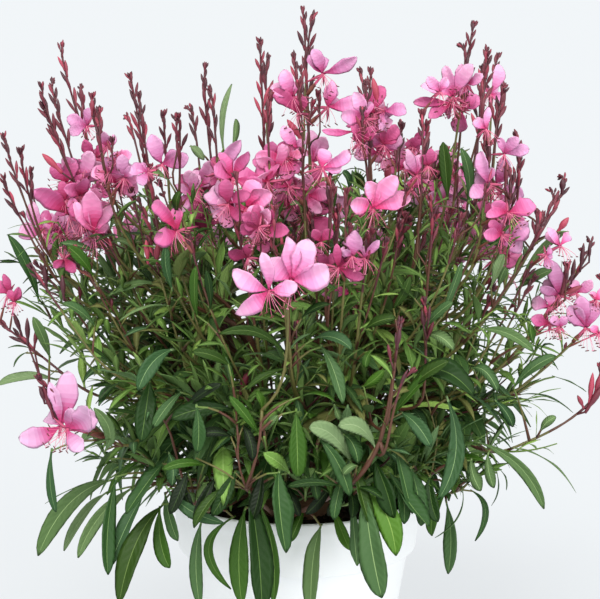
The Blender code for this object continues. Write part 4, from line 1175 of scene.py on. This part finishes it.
def grow():
    plant = Plant()
    dice = plant.dice

    # the main stems
    mains = []
    for i, (_, foot, end) in enumerate(main_stems()):
        away = unit(end - HEART)
        on = end + away * 0.022
        rise = foot + unit(unit(np.array([foot[0], foot[1], 0]) + 1e-6) * 0.35 + Z) * 0.018
        path = resample(bezier((foot - Z * 0.003, rise, end - away * 0.02, on), 20), 0.004)
        plant.draw(path, 0.0025, 0.0015, (0, 0, 1, 1, 1, 2) if i % 3 else (0, 1, 1, 3, 3, 1), sides=9)
        plant.mark(path)
        mains.append(path)

    def origin_for(p, low=0.40, high=1.0):
        way = unit(p - HEART)
        best = max(mains, key=lambda m: unit(m[-1] - HEART) @ way + dice.uniform(-0.10, 0.10))
        return best[int(dice.uniform(low, high) * (len(best) - 1))]

    # the flower stalks that the front shows
    shown = []
    for row in STALKS:
        tu, tv, mu, mv, fu, fv, ty, fy, zone = row
        tip, foot = spot(tu, tv, ty), spot(fu, fv, fy)
        middle = spot(mu, mv, (ty + fy) / 2)
        path = bezier((foot, 2 * middle - (tip + foot) / 2, tip), 16)
        high = foot[2] > 0.25
        tones = GREENS_TOP if high else GREENS_MID
        whole = plant.shoot(origin_for(foot), path, zone / 1000.0, tones, 0.040, 0.018, 0.20)
        shown.append(whole)

    # slender upright sprigs among the flowers
    for u0, u1, v0, v1, count in ((92, 192, 196, 240, 10), (232, 332, 186, 230, 6), (334, 396, 206, 246, 5), (396, 506, 178, 240, 9), (486, 540, 240, 290, 4), (30, 92, 236, 276, 5)):
        for _ in range(count):
            u, v, y = dice.uniform(u0, u1), dice.uniform(v0, v1), dice.uniform(-0.090, -0.010)
            lean = (u - 300) * 0.22 + dice.uniform(-8, 8)
            tip, foot = spot(u, v, y), spot(u - lean, v + dice.uniform(78, 100), y - dice.uniform(-0.004, 0.010))
            path = bezier((foot, (foot + tip) / 2 + RIGHT * dice.uniform(-0.003, 0.003), tip), 12)
            plant.shoot(origin_for(foot), path, dice.uniform(0.010, 0.018), ("olive", "mid", "mid", "fresh", "grass"), 0.030, 0.016, 0.0, r0=0.0008)

    # stalks behind, below the front's skyline
    made = 0
    for _ in range(400):
        if made >= 26:
            break
        az = math.radians(dice.uniform(8, 172))
        reach = dice.uniform(0.030, 0.150)
        z = 0.335 - 0.085 * (reach / 0.15) ** 2 + dice.uniform(-0.015, 0.020)
        tip = np.array([math.cos(az) * reach, math.sin(az) * reach, z])
        u, v = pixel(tip)
        if not inside(LEAFY, u, v):
            continue
        foot = np.array([tip[0] * 0.62, tip[1] * 0.62, tip[2] - dice.uniform(0.075, 0.095)])
        bow = foot + (tip - foot) * 0.5 + np.array([math.cos(az), math.sin(az), 0]) * 0.006
        path = bezier((foot, bow, tip), 12)
        whole = plant.shoot(origin_for(foot), path, dice.uniform(0.022, 0.040), GREENS_TOP if z > 0.3 else GREENS_MID, 0.038, 0.018, 0.22)
        out = unit(np.array([tip[0], tip[1], 0.0]))
        for _ in range(dice.choice((1, 2, 2, 3, 4))):
            k = int(len(whole) * dice.uniform(0.70, 0.88))
            foot_f = whole[k]
            a = dice.uniform(-1.2, 1.2)
            face = unit(np.array([out[0] * math.cos(a) - out[1] * math.sin(a), out[0] * math.sin(a) + out[1] * math.cos(a), dice.uniform(-0.1, 0.3)]))
            centre = foot_f + face * dice.uniform(0.008, 0.014) + Z * 0.004
            plant.bloom(centre, foot_f, face, Z + face * 0.1, dice.uniform(0.012, 0.0155), dice.choice(("bright", "pale", "rose", "lilac", "bright")))
        made += 1

    # leafy shoots that fill the crown
    made = 0
    for k in range(900):
        if made >= 50:
            break
        z = 0.128 + 0.175 * ((k * 0.618) % 1.0)
        az = k * 2.39996
        r = dome(z) * dice.uniform(0.62, 0.90)
        end = np.array([math.cos(az) * r, math.sin(az) * r, z])
        if not allowed(end):
            continue
        origin = origin_for(end, 0.25, 0.95)
        gap = np.linalg.norm(end - origin)
        if gap < 0.02:
            continue
        out = np.array([math.cos(az), math.sin(az), 0.0])
        path = bezier((origin, origin + unit(unit(end - origin) + Z * 0.5) * gap * 0.4, end - unit(out * 0.5 + Z * 0.6) * gap * 0.35, end), 14)
        path = resample(path, 0.004)
        plant.draw(path, 0.0012, 0.00055, dice.choice(((1, 1, 3, 3, 4), (1, 1, 1, 3, 4), (0, 1, 1, 2, 2), (3, 3, 4))))
        plant.mark(path)
        low = z < 0.19
        tones = GREENS_LOW if low else GREENS_MID if z < 0.27 else GREENS_TOP
        plant.clothe(path, 0.12, 0.97, 0.048 if low else 0.042, 0.034 if low else 0.024, 0.0100, tones, twigs=0.09 if z < 0.24 else 0.20, droop=(0.05, 0.45) if low else (0.0, 0.3))
        for i in range(4):
            a = 1.57 * i + dice.uniform(0, 0.8)
            run = unit(path[-1] - path[-3])
            side = unit(np.cross(run, [0.3, 0.2, 0.9]))
            side2 = np.cross(run, side)
            way = unit(run + (math.cos(a) * side + math.sin(a) * side2) * dice.uniform(0.2, 0.55))
            plant.one_leaf(path[-1], way, way, dice.uniform(0.020, 0.034) if z < 0.24 else dice.uniform(0.013, 0.024), dice.choice(tones), 0.0)
        made += 1

    # low shoots that cross the rim and turn up
    made = 0
    for k in range(400):
        if made >= 36:
            break
        az = k * 2.39996 + 0.4
        out = np.array([math.cos(az), math.sin(az), 0.0])
        z = dice.uniform(0.132, 0.168)
        end = out * dice.uniform(0.078, 0.112) + Z * z
        if not allowed(end):
            continue
        origin = origin_for(end, 0.02, 0.30)
        knee = out * 0.055 + Z * dice.uniform(0.119, 0.126)
        path = resample(bezier((origin, knee, end - unit(out * 0.5 + Z) * 0.014, end), 14), 0.004)
        plant.draw(path, 0.0013, 0.0006, dice.choice(((0, 1, 1, 1), (0, 1, 3, 4), (1, 1, 1, 3))))
        plant.mark(path)
        plant.clothe(path, 0.30, 1.0, 0.050, 0.036, 0.0075, GREENS_LOW, twigs=0.12, spread=(30, 70), droop=(0.10, 0.55))
        for i in range(4):
            a = 1.57 * i + dice.uniform(0, 0.8)
            way = unit(unit(path[-1] - path[-3]) + (math.cos(a) * X_AXIS + math.sin(a) * np.array([0, 1.0, 0])) * dice.uniform(0.3, 0.7))
            plant.one_leaf(path[-1], way, way, dice.uniform(0.018, 0.030), dice.choice(GREENS_LOW), 0.05)
        made += 1

    # long leaves over the rim, on every side
    made = 0
    for k in range(600):
        if made >= 60:
            break
        az = k * 2.39996
        out = np.array([math.cos(az), math.sin(az), 0.0])
        base = out * dice.uniform(0.058, 0.092) + Z * dice.uniform(0.124, 0.165)
        length = dice.uniform(0.040, 0.062)
        swing = dice.uniform(-0.5, 0.5)
        way = np.array([math.cos(az + swing), math.sin(az + swing), 0.0])
        fall = dice.uniform(0.35, 0.95)
        tip = base + way * length * math.sqrt(max(0.05, 1 - fall**2)) - Z * length * fall * 0.9
        if math.hypot(tip[0], tip[1]) < 0.078 or not allowed(tip):
            continue
        control = base + way * length * 0.5 + Z * length * 0.12
        tone = dice.choice(GREENS_LOW)
        plant.leaves.leaf(base, control, tip, length * dice.uniform(0.085, 0.115), tone, dice, roll=dice.uniform(-0.4, 0.4), fold=dice.uniform(0.12, 0.3), broad=True, rows=13)
        foot = plant.nearest(base, 0.012)
        plant.draw(bezier((foot, (foot + base) / 2 + Z * 0.004, base), 6), 0.0009, 0.0005, (1, 3, 4), sides=6, joints=False)
        made += 1

    # low stems that the front shows
    for pixels, depths, thick, slot in SHOWN_STEMS:
        points = np.array([spot(u, v, y) for (u, v), y in zip(pixels, depths, strict=True)])
        t = np.linspace(0, 1, len(points))
        fine = np.linspace(0, 1, 40)
        path = np.stack([np.interp(fine, t, points[:, i]) for i in range(3)], -1)
        for _ in range(12):
            path[1:-1] = path[1:-1] * 0.5 + (path[:-2] + path[2:]) * 0.25
        if path[0][2] > 0.135:
            # a shoot whose foot is hidden: it leaves the nearest stem below
            carrier = plant.nearest(path[0])
            reach = np.linalg.norm(path[0] - carrier)
            if reach > 0.0004:
                joint = bezier((carrier, path[0] - unit(path[3] - path[0]) * reach * 0.5, path[0]), 12)
                plant.draw(joint, thick / 1000, thick / 1000, (slot,), sides=9, joints=False)
        plant.draw(path, thick / 1000, thick * 0.72 / 1000, (slot,), sides=9)
        plant.mark(path)

    # single leaves, open flowers and large buds that the front shows, in front of the leaves that fill
    stalk = np.concatenate(shown)
    flat = np.array([pixel(p) for p in stalk])

    def cloud_of(made_of=None):
        cloud = np.concatenate([q for store in (made_of or plant.leaves).stores for q in store.points])
        r = cloud - EYE
        depth = r @ FORWARD
        return 300 + FOCAL_PX * (r @ RIGHT) / depth, 299.5 - FOCAL_PX * (r @ UPWARD) / depth, cloud[:, 1]

    def front(cloud, u, v, y, reach, most):
        """The depth at y, or as far forward as clears the leaves around this pixel."""
        cu, cv, cy = cloud
        close = cy[(np.abs(cu - u) < reach) & (np.abs(cv - v) < reach)]
        if len(close) < 6:
            return y
        return max(min(y, float(np.quantile(close, 0.03)) - 0.004), y - most)

    def beside(u, v, drop):
        gap = np.hypot(flat[:, 0] - u, (flat[:, 1] - v - drop) * 0.8)
        return stalk[int(np.argmin(gap + np.maximum(0, v - flat[:, 1]) * 0.8 + (stalk[:, 1] + 0.05) * 40))]

    cloud = cloud_of()
    for row in SHOWN_LEAVES:
        u0, v0, u1, v1, u2, v2, y0, y2, wide, tone = row
        shift = 0.0
        if wide >= 8:
            for t in (0.2, 0.4, 0.6, 0.8):
                u, v = ((1 - t) ** 2 * a + 2 * t * (1 - t) * b + t * t * c for a, b, c in ((u0, u1, u2), (v0, v1, v2)))
                y = y0 + (y2 - y0) * t
                shift = min(shift, front(cloud, u, v, y, 6, 0.034) - y)
            shift = max(shift, -0.148 - min(y0, y2))
        plant.set_leaf((u0, v0, u1, v1, u2, v2, y0 + shift, y2 + shift, wide * 0.92, tone))
    cloud = cloud_of()

    for u, v, turn, tone, tips in BLOOMS:
        y = beside(u, v, 5)[1] - 0.004
        mu = (u + sum(t[0] for t in tips)) / (len(tips) + 1)
        mv = (v + sum(t[1] for t in tips)) / (len(tips) + 1)
        most = 0.045 if v > 400 else 0.028 if v > 200 else 0.014
        plant.bloom_at(u, v, turn, tone, tips, FRONT_PAIR.get((u, v)) or front(cloud, mu, mv, y, 15, most))
    for u0, v0, u1, v1, wide, slot in SHOWN_BUDS:
        y = front(cloud, (u0 + u1) / 2, (v0 + v1) / 2, beside(u0, v0, 3)[1] - 0.002, 8, 0.03)
        base, tip = spot(u0, v0, y), spot(u1, v1, y)
        length = float(np.linalg.norm(tip - base))
        foot = plant.nearest(base, 0.006)
        bud(plant.buds.store(), base, tip - base, length, wide * 0.00026, slot, slot, dice, bow=-0.04)
        plant.draw(bezier((foot, (foot + base) / 2 + Z * 0.001, base + (tip - base) * 0.04), 5), 0.0006, 0.0005, (2,), sides=5, joints=False)

    # stalks that pass in front of the flowers
    cloud = cloud_of(plant.petals)
    for pixels, zone, thick, *behind in OVER:
        corners = np.array(pixels, float)
        run = np.concatenate([[0], np.cumsum(np.hypot(*np.diff(corners, axis=0).T))])
        fine = np.linspace(0, run[-1], 16)
        us, vs = (np.interp(fine, run, corners[:, i]) for i in range(2))
        near = beside(us[0], vs[0], 2)[1]
        ys = np.array([front(cloud, u, v, near - 0.001, 7, 0.020) + 0.0025 for u, v in zip(us, vs, strict=True)])
        ys = np.minimum.accumulate(ys[::-1])[::-1] * 0.5 + ys.min() * 0.5 if not behind else np.full(len(us), near + 0.004)
        path = np.array([spot(u, v, y) for u, v, y in zip(us, vs, ys, strict=True)])
        for _ in range(4):
            path[1:-1] = path[1:-1] * 0.5 + (path[:-2] + path[2:]) * 0.25
        foot = plant.nearest(path[0], 0.010)
        link = bezier((foot, foot + unit(Z + unit(path[0] - foot)) * np.linalg.norm(path[0] - foot) * 0.4, path[0] - unit(path[1] - path[0]) * 0.004, path[0]), 7)
        whole = np.concatenate([link[:-1], path])
        plant.draw(whole, thick * 0.8 / 1000, 0.00045, (1, 1, 2, 2) if zone > 5 else (3, 1, 2))
        plant.raceme(path, zone / 1000)

    # more flowers deeper in the same clusters
    deeper = [row for row in BLOOMS[9:] if 50 < row[0] < 486 and 84 < row[1] < 240]
    made = 0
    for _ in range(900):
        if made >= 31:
            break
        u, v, turn, tone, tips = dice.choice(deeper)
        uu, vv = u + dice.gauss(0, 7), v + abs(dice.gauss(0, 8))
        near = beside(uu, vv, 5)
        centre = spot(uu, vv, near[1] + dice.uniform(0.003, 0.018))
        if vv < (176 if 96 < uu < 150 else 166 if uu < 260 else 118 if uu < 420 else 104) or 300 < uu < 330 and vv < 150:
            continue
        foot = plant.nearest(centre, 0.008)
        if np.linalg.norm(foot - centre) > 0.022:
            continue
        b = math.radians(dice.uniform(-70, 70))
        face = unit(np.array([math.sin(b), -math.cos(b), dice.uniform(-0.1, 0.3)]))
        a = math.radians(dice.gauss(0, 28))
        plant.bloom(centre, foot, face, Z * math.cos(a) + X_AXIS * math.sin(a), dice.uniform(0.0115, 0.0155), dice.choice(("bright", "rose", "pale", "warm", "bright")))
        made += 1
    return plant


X_AXIS = np.array([1.0, 0.0, 0.0])


# ------------------------------------------------------------------ pot, compost and root crown
def turned(name, profile, sides, mats, slots=None):
    """A closed turned solid: the profile runs from the axis below, round the outside, to the axis again."""
    ring = [p for p in profile if p[0] > 1e-6]
    n = len(ring)
    turn = 2 * np.pi * np.arange(sides) / sides
    points = np.concatenate([np.stack([r * np.cos(turn), r * np.sin(turn), np.full(sides, z)], -1) for r, z in ring] + [np.array([[0, 0, profile[0][1]], [0, 0, profile[-1][1]]])])
    faces, use = [], []
    for k in range(n - 1):
        for i in range(sides):
            j = (i + 1) % sides
            faces.append((k * sides + i, k * sides + j, (k + 1) * sides + j, (k + 1) * sides + i))
            use.append(0 if slots is None else slots[k])
    for i in range(sides):
        j = (i + 1) % sides
        faces.append((n * sides, j, i))
        faces.append((n * sides + 1, (n - 1) * sides + i, (n - 1) * sides + j))
        use += [0, 0 if slots is None else slots[-1]]
    mesh = bpy.data.meshes.new(name)
    mesh.from_pydata([tuple(map(float, p)) for p in points], [], faces)
    for mat in mats:
        mesh.materials.append(mat)
    for poly, s in zip(mesh.polygons, use, strict=True):
        poly.use_smooth = True
        poly.material_index = s
    mesh.update()
    obj = bpy.data.objects.new(name, mesh)
    bpy.context.scene.collection.objects.link(obj)
    return obj


def rounded(points, radius, steps=4):
    """The profile with each inner corner rounded off."""
    out = [points[0]]
    for a, b, c in zip(points[:-2], points[1:-1], points[2:], strict=True):
        a, b, c = np.array(a), np.array(b), np.array(c)
        ra = min(radius, np.linalg.norm(a - b) * 0.45)
        rc = min(radius, np.linalg.norm(c - b) * 0.45)
        p, q = b + (a - b) / np.linalg.norm(a - b) * ra, b + (c - b) / np.linalg.norm(c - b) * rc
        for i in range(steps + 1):
            t = i / steps
            out.append(tuple((1 - t) ** 2 * p + 2 * t * (1 - t) * b + t**2 * q))
    out.append(points[-1])
    return out


def make_pot():
    mat, nodes, links, bsdf = shader_of("pot_white_plastic", srgb(246, 248, 249), 0.42)
    fine = noise_of(nodes, links, 700.0, 4.0)
    wide = noise_of(nodes, links, 22.0, 2.0)
    links.new(ranged(nodes, links, wide, 0.36, 0.50), bsdf.inputs["Roughness"])
    bump_of(nodes, links, bsdf, fine, 0.12, 0.00012)
    bsdf.inputs["Specular IOR Level"].default_value = 0.45
    profile = [
        (0.0, 0.0), (0.0435, 0.0), (0.0470, 0.0008), (0.0472, 0.0040), (0.0612, 0.0846), (0.0649, 0.0850),
        (0.0652, 0.0865), (0.0672, 0.1060), (0.0680, 0.1090), (0.0680, 0.1142), (0.0672, 0.1150), (0.0662, 0.1150), (0.0655, 0.1140),
        (0.0648, 0.1060), (0.0630, 0.0870), (0.0592, 0.0840), (0.0450, 0.0045), (0.0435, 0.0030), (0.0, 0.0030),
    ]
    pot = turned("pot_shell", rounded(profile, 0.0009, 3), 160, [mat])
    cutters = []
    for i in range(6):
        a = math.radians(60 * i + 30)
        mesh = bpy.data.meshes.new("drain_cutter")
        turn = [2 * math.pi * k / 20 for k in range(20)]
        ring = [(0.031 * math.cos(a) + 0.0042 * math.cos(t), 0.031 * math.sin(a) + 0.0042 * math.sin(t)) for t in turn]
        pts = [(x, y, -0.01) for x, y in ring] + [(x, y, 0.01) for x, y in ring]
        faces = [tuple(reversed(range(20))), tuple(range(20, 40))] + [(k, (k + 1) % 20, 20 + (k + 1) % 20, 20 + k) for k in range(20)]
        mesh.from_pydata(pts, [], faces)
        cutter = bpy.data.objects.new("drain_cutter", mesh)
        bpy.context.scene.collection.objects.link(cutter)
        mod = pot.modifiers.new(f"drain_{i}", "BOOLEAN")
        mod.operation, mod.solver, mod.object = "DIFFERENCE", "EXACT", cutter
        cutters.append(cutter)
    bpy.context.view_layer.update()
    graph = bpy.context.evaluated_depsgraph_get()
    mesh = bpy.data.meshes.new_from_object(pot.evaluated_get(graph))
    pot.modifiers.clear()
    pot.data = mesh
    for cutter in cutters:
        bpy.data.objects.remove(cutter)
    return pot


def make_compost():
    # The compost's own dark brown is made darker still, down to near black, as painted shade from the leaves that
    # overhang it.
    mat, nodes, links, bsdf = shader_of("compost_crumb", srgb(34, 26, 20), 0.9)
    grain = noise_of(nodes, links, 260.0, 5.0, 0.7)
    ramp = nodes.new("ShaderNodeValToRGB")
    ramp.color_ramp.elements[0].position, ramp.color_ramp.elements[0].color = 0.30, srgb(16, 12, 9)
    ramp.color_ramp.elements[1].position, ramp.color_ramp.elements[1].color = 0.74, srgb(60, 46, 34)
    links.new(grain, ramp.inputs["Fac"])
    links.new(ramp.outputs["Color"], bsdf.inputs["Base Color"])
    links.new(ranged(nodes, links, grain, 0.80, 1.0), bsdf.inputs["Roughness"])
    bump_of(nodes, links, bsdf, grain, 0.9, 0.0012)
    bsdf.inputs["Specular IOR Level"].default_value = 0.15
    dice = random.Random(31)
    store = Store("compost_crumbs", [mat])
    sides, rings = 72, 22
    points, ids = [], []
    for k in range(rings):
        r = 0.0635 * (1 - k / rings)
        z = 0.1040 + 0.0012 * (k / rings)
        for i in range(sides):
            a = 2 * math.pi * i / sides
            lift = noise.noise(Vector((r * math.cos(a) * 160, r * math.sin(a) * 160, 3.0))) * 0.0011 if k else 0.0
            points.append((r * math.cos(a), r * math.sin(a), z + lift))
    points.append((0, 0, 0.1050))
    low = [(0.0632 * math.cos(2 * math.pi * i / sides), 0.0632 * math.sin(2 * math.pi * i / sides), 0.0985) for i in range(sides)]
    lowest = [(0.0446 * math.cos(2 * math.pi * i / sides), 0.0446 * math.sin(2 * math.pi * i / sides), 0.0036) for i in range(sides)]
    shelf = [(0.0588 * math.cos(2 * math.pi * i / sides), 0.0588 * math.sin(2 * math.pi * i / sides), 0.0830) for i in range(sides)]
    n = len(points)
    points += low + shelf + lowest + [(0, 0, 0.0036)]
    quads, tris = [], []
    for k in range(rings - 1):
        for i in range(sides):
            j = (i + 1) % sides
            quads.append((k * sides + i, k * sides + j, (k + 1) * sides + j, (k + 1) * sides + i))
    for i in range(sides):
        j = (i + 1) % sides
        tris.append(((rings - 1) * sides + i, (rings - 1) * sides + j, n - 1))
        quads.append((n + i, n + j, j, i))
        quads.append((n + sides + i, n + sides + j, n + j, n + i))
        quads.append((n + 2 * sides + i, n + 2 * sides + j, n + sides + j, n + sides + i))
        tris.append((n + 3 * sides, n + 2 * sides + j, n + 2 * sides + i))
    store.add(points, quads, 0)
    store.faces.append(np.array(tris))
    store.slots.append(np.zeros(len(tris), int))
    # crumbs and bark chips lying on it
    shape = np.array([(1, 0, 0), (-1, 0, 0), (0, 1, 0), (0, -1, 0), (0, 0, 1), (0, 0, -1)], float)
    octa = np.array([(0, 2, 4), (2, 1, 4), (1, 3, 4), (3, 0, 4), (2, 0, 5), (1, 2, 5), (3, 1, 5), (0, 3, 5)])
    for _ in range(900):
        r, a = 0.060 * math.sqrt(dice.random()), dice.uniform(0, 6.28)
        size = dice.uniform(0.0005, 0.0019)
        turn = dice.uniform(0, 3.14)
        pts = shape * np.array([size * dice.uniform(0.8, 1.9), size, size * dice.uniform(0.5, 0.9)])
        c, s = math.cos(turn), math.sin(turn)
        pts = pts @ np.array([[c, s, 0], [-s, c, 0], [0, 0, 1]]) + np.array([r * math.cos(a), r * math.sin(a), 0.1048 + size * 0.3])
        store.add(pts, octa, 0)
    return store.build(with_uv=False)


def make_crown():
    """The woody root crown that all the stems rise from, flared where it meets the compost."""
    mat = skin("root_crown_bark", (96, 70, 50), (0.7, 0.95), scale=420.0, strength=0.8, distance=0.0007, specular=0.25)
    sides, rows = 40, 16
    points = []
    for k in range(rows):
        t = k / (rows - 1)
        r = 0.0235 + (0.0180 - 0.0235) * t**0.6
        z = 0.1047 + (0.1152 - 0.1047) * t
        if k > rows - 4:
            r *= (1.0, 0.93, 0.72, 0.40)[k - rows + 4]
        for i in range(sides):
            a = 2 * math.pi * i / sides
            lobe = 1 + 0.05 * math.sin(5 * a + 0.6) + 0.04 * math.sin(9 * a + 2 * t)
            lobe += 0.05 * noise.noise(Vector((math.cos(a) * 3, math.sin(a) * 3, t * 2)))
            points.append((r * lobe * math.cos(a), r * lobe * math.sin(a), z + 0.0006 * noise.noise(Vector((math.cos(a) * 4, math.sin(a) * 4, t * 5)))))
    points += [(0, 0, 0.1047), (0, 0, 0.1154)]
    quads, tris = [], []
    for k in range(rows - 1):
        for i in range(sides):
            j = (i + 1) % sides
            quads.append((k * sides + i, k * sides + j, (k + 1) * sides + j, (k + 1) * sides + i))
    n = rows * sides
    for i in range(sides):
        j = (i + 1) % sides
        tris.append((n, j, i))
        tris.append((n + 1, (rows - 1) * sides + i, (rows - 1) * sides + j))
    store = Store("root_crown_wood", [mat])
    store.add(points, quads, 0)
    store.faces.append(np.array(tris))
    store.slots.append(np.zeros(len(tris), int))
    return store.build(with_uv=False)


# ------------------------------------------------------------------ light and floor
def make_stage():
    mat, nodes, links, bsdf = shader_of("studio_floor", (0.20, 0.21, 0.218, 1.0), 1.0)
    grain = noise_of(nodes, links, 6.0, 2.0)
    bump_of(nodes, links, bsdf, grain, 0.02, 0.001)
    bsdf.inputs["Specular IOR Level"].default_value = 0.0
    bsdf.inputs["Emission Color"].default_value = (0.94, 0.975, 1.0, 1.0)
    bsdf.inputs["Emission Strength"].default_value = FLOOR
    mesh = bpy.data.meshes.new("studio_floor")
    n = 12
    pts = [(-60 + 120 * i / n, -60 + 120 * j / n, 0.0) for j in range(n + 1) for i in range(n + 1)]
    faces = [(j * (n + 1) + i, j * (n + 1) + i + 1, (j + 1) * (n + 1) + i + 1, (j + 1) * (n + 1) + i) for j in range(n) for i in range(n)]
    mesh.from_pydata(pts, [], faces)
    mesh.materials.append(mat)
    floor = bpy.data.objects.new("studio_floor", mesh)
    bpy.context.scene.collection.objects.link(floor)
    world = bpy.data.worlds.new("studio") if bpy.context.scene.world is None else bpy.context.scene.world
    bpy.context.scene.world = world
    world.use_nodes = True
    back = world.node_tree.nodes["Background"]
    back.inputs["Color"].default_value = (1.0, 0.995, 0.985, 1.0)
    back.inputs["Strength"].default_value = WORLD

    def sun(name, way, strength, spread, colour=(1.0, 1.0, 1.0)):
        data = bpy.data.lights.new(name, "SUN")
        data.energy, data.angle, data.color = strength, math.radians(spread), colour
        lamp = bpy.data.objects.new(name, data)
        lamp.rotation_euler = Vector(way).to_track_quat("-Z", "Y").to_euler()
        bpy.context.scene.collection.objects.link(lamp)

    sun("key", (0.14, 0.62, -0.77), KEY, 28, (1.0, 0.985, 0.96))
    sun("fill", (-0.60, 0.75, -0.35), FILL, 40, (0.97, 0.985, 1.0))
    bpy.context.scene.view_settings.view_transform = "Standard"
    bpy.context.scene.view_settings.look = "None"
    bpy.context.scene.view_settings.exposure = 0.0
    bpy.context.scene.view_settings.gamma = 1.0


FLOOR = 0.635
WORLD, KEY, FILL = 0.82, 2.05, 1.15


def main():
    place_camera()
    make_stage()
    nodes = sorted(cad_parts)
    plant = grow()

    def put(obj, slot, *names):
        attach(obj, "root")
        if names:
            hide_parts(*names)

    put(make_pot(), "pot", "pot")
    put(make_compost(), "compost", "compost")
    put(make_crown(), "root_crown", "root_crown")
    masses = [n for n in nodes if "leaves" in n]
    spikes = [n for n in nodes if n.startswith("flower_spike_")]
    stems = [n for n in nodes if n.startswith("stem_")]
    for group, slot, names in (
        (plant.stems, "stems", stems), (plant.leaves, "leaf_masses", masses),
        (plant.buds, "flower_spikes", spikes), (plant.petals, "flower_spikes", spikes), (plant.parts, "flower_spikes", spikes),
    ):
        for store in group.stores:
            put(store.build(), slot, *names)
            print("piece", store.name, store.triangles)

    bpy.context.view_layer.update()


main()
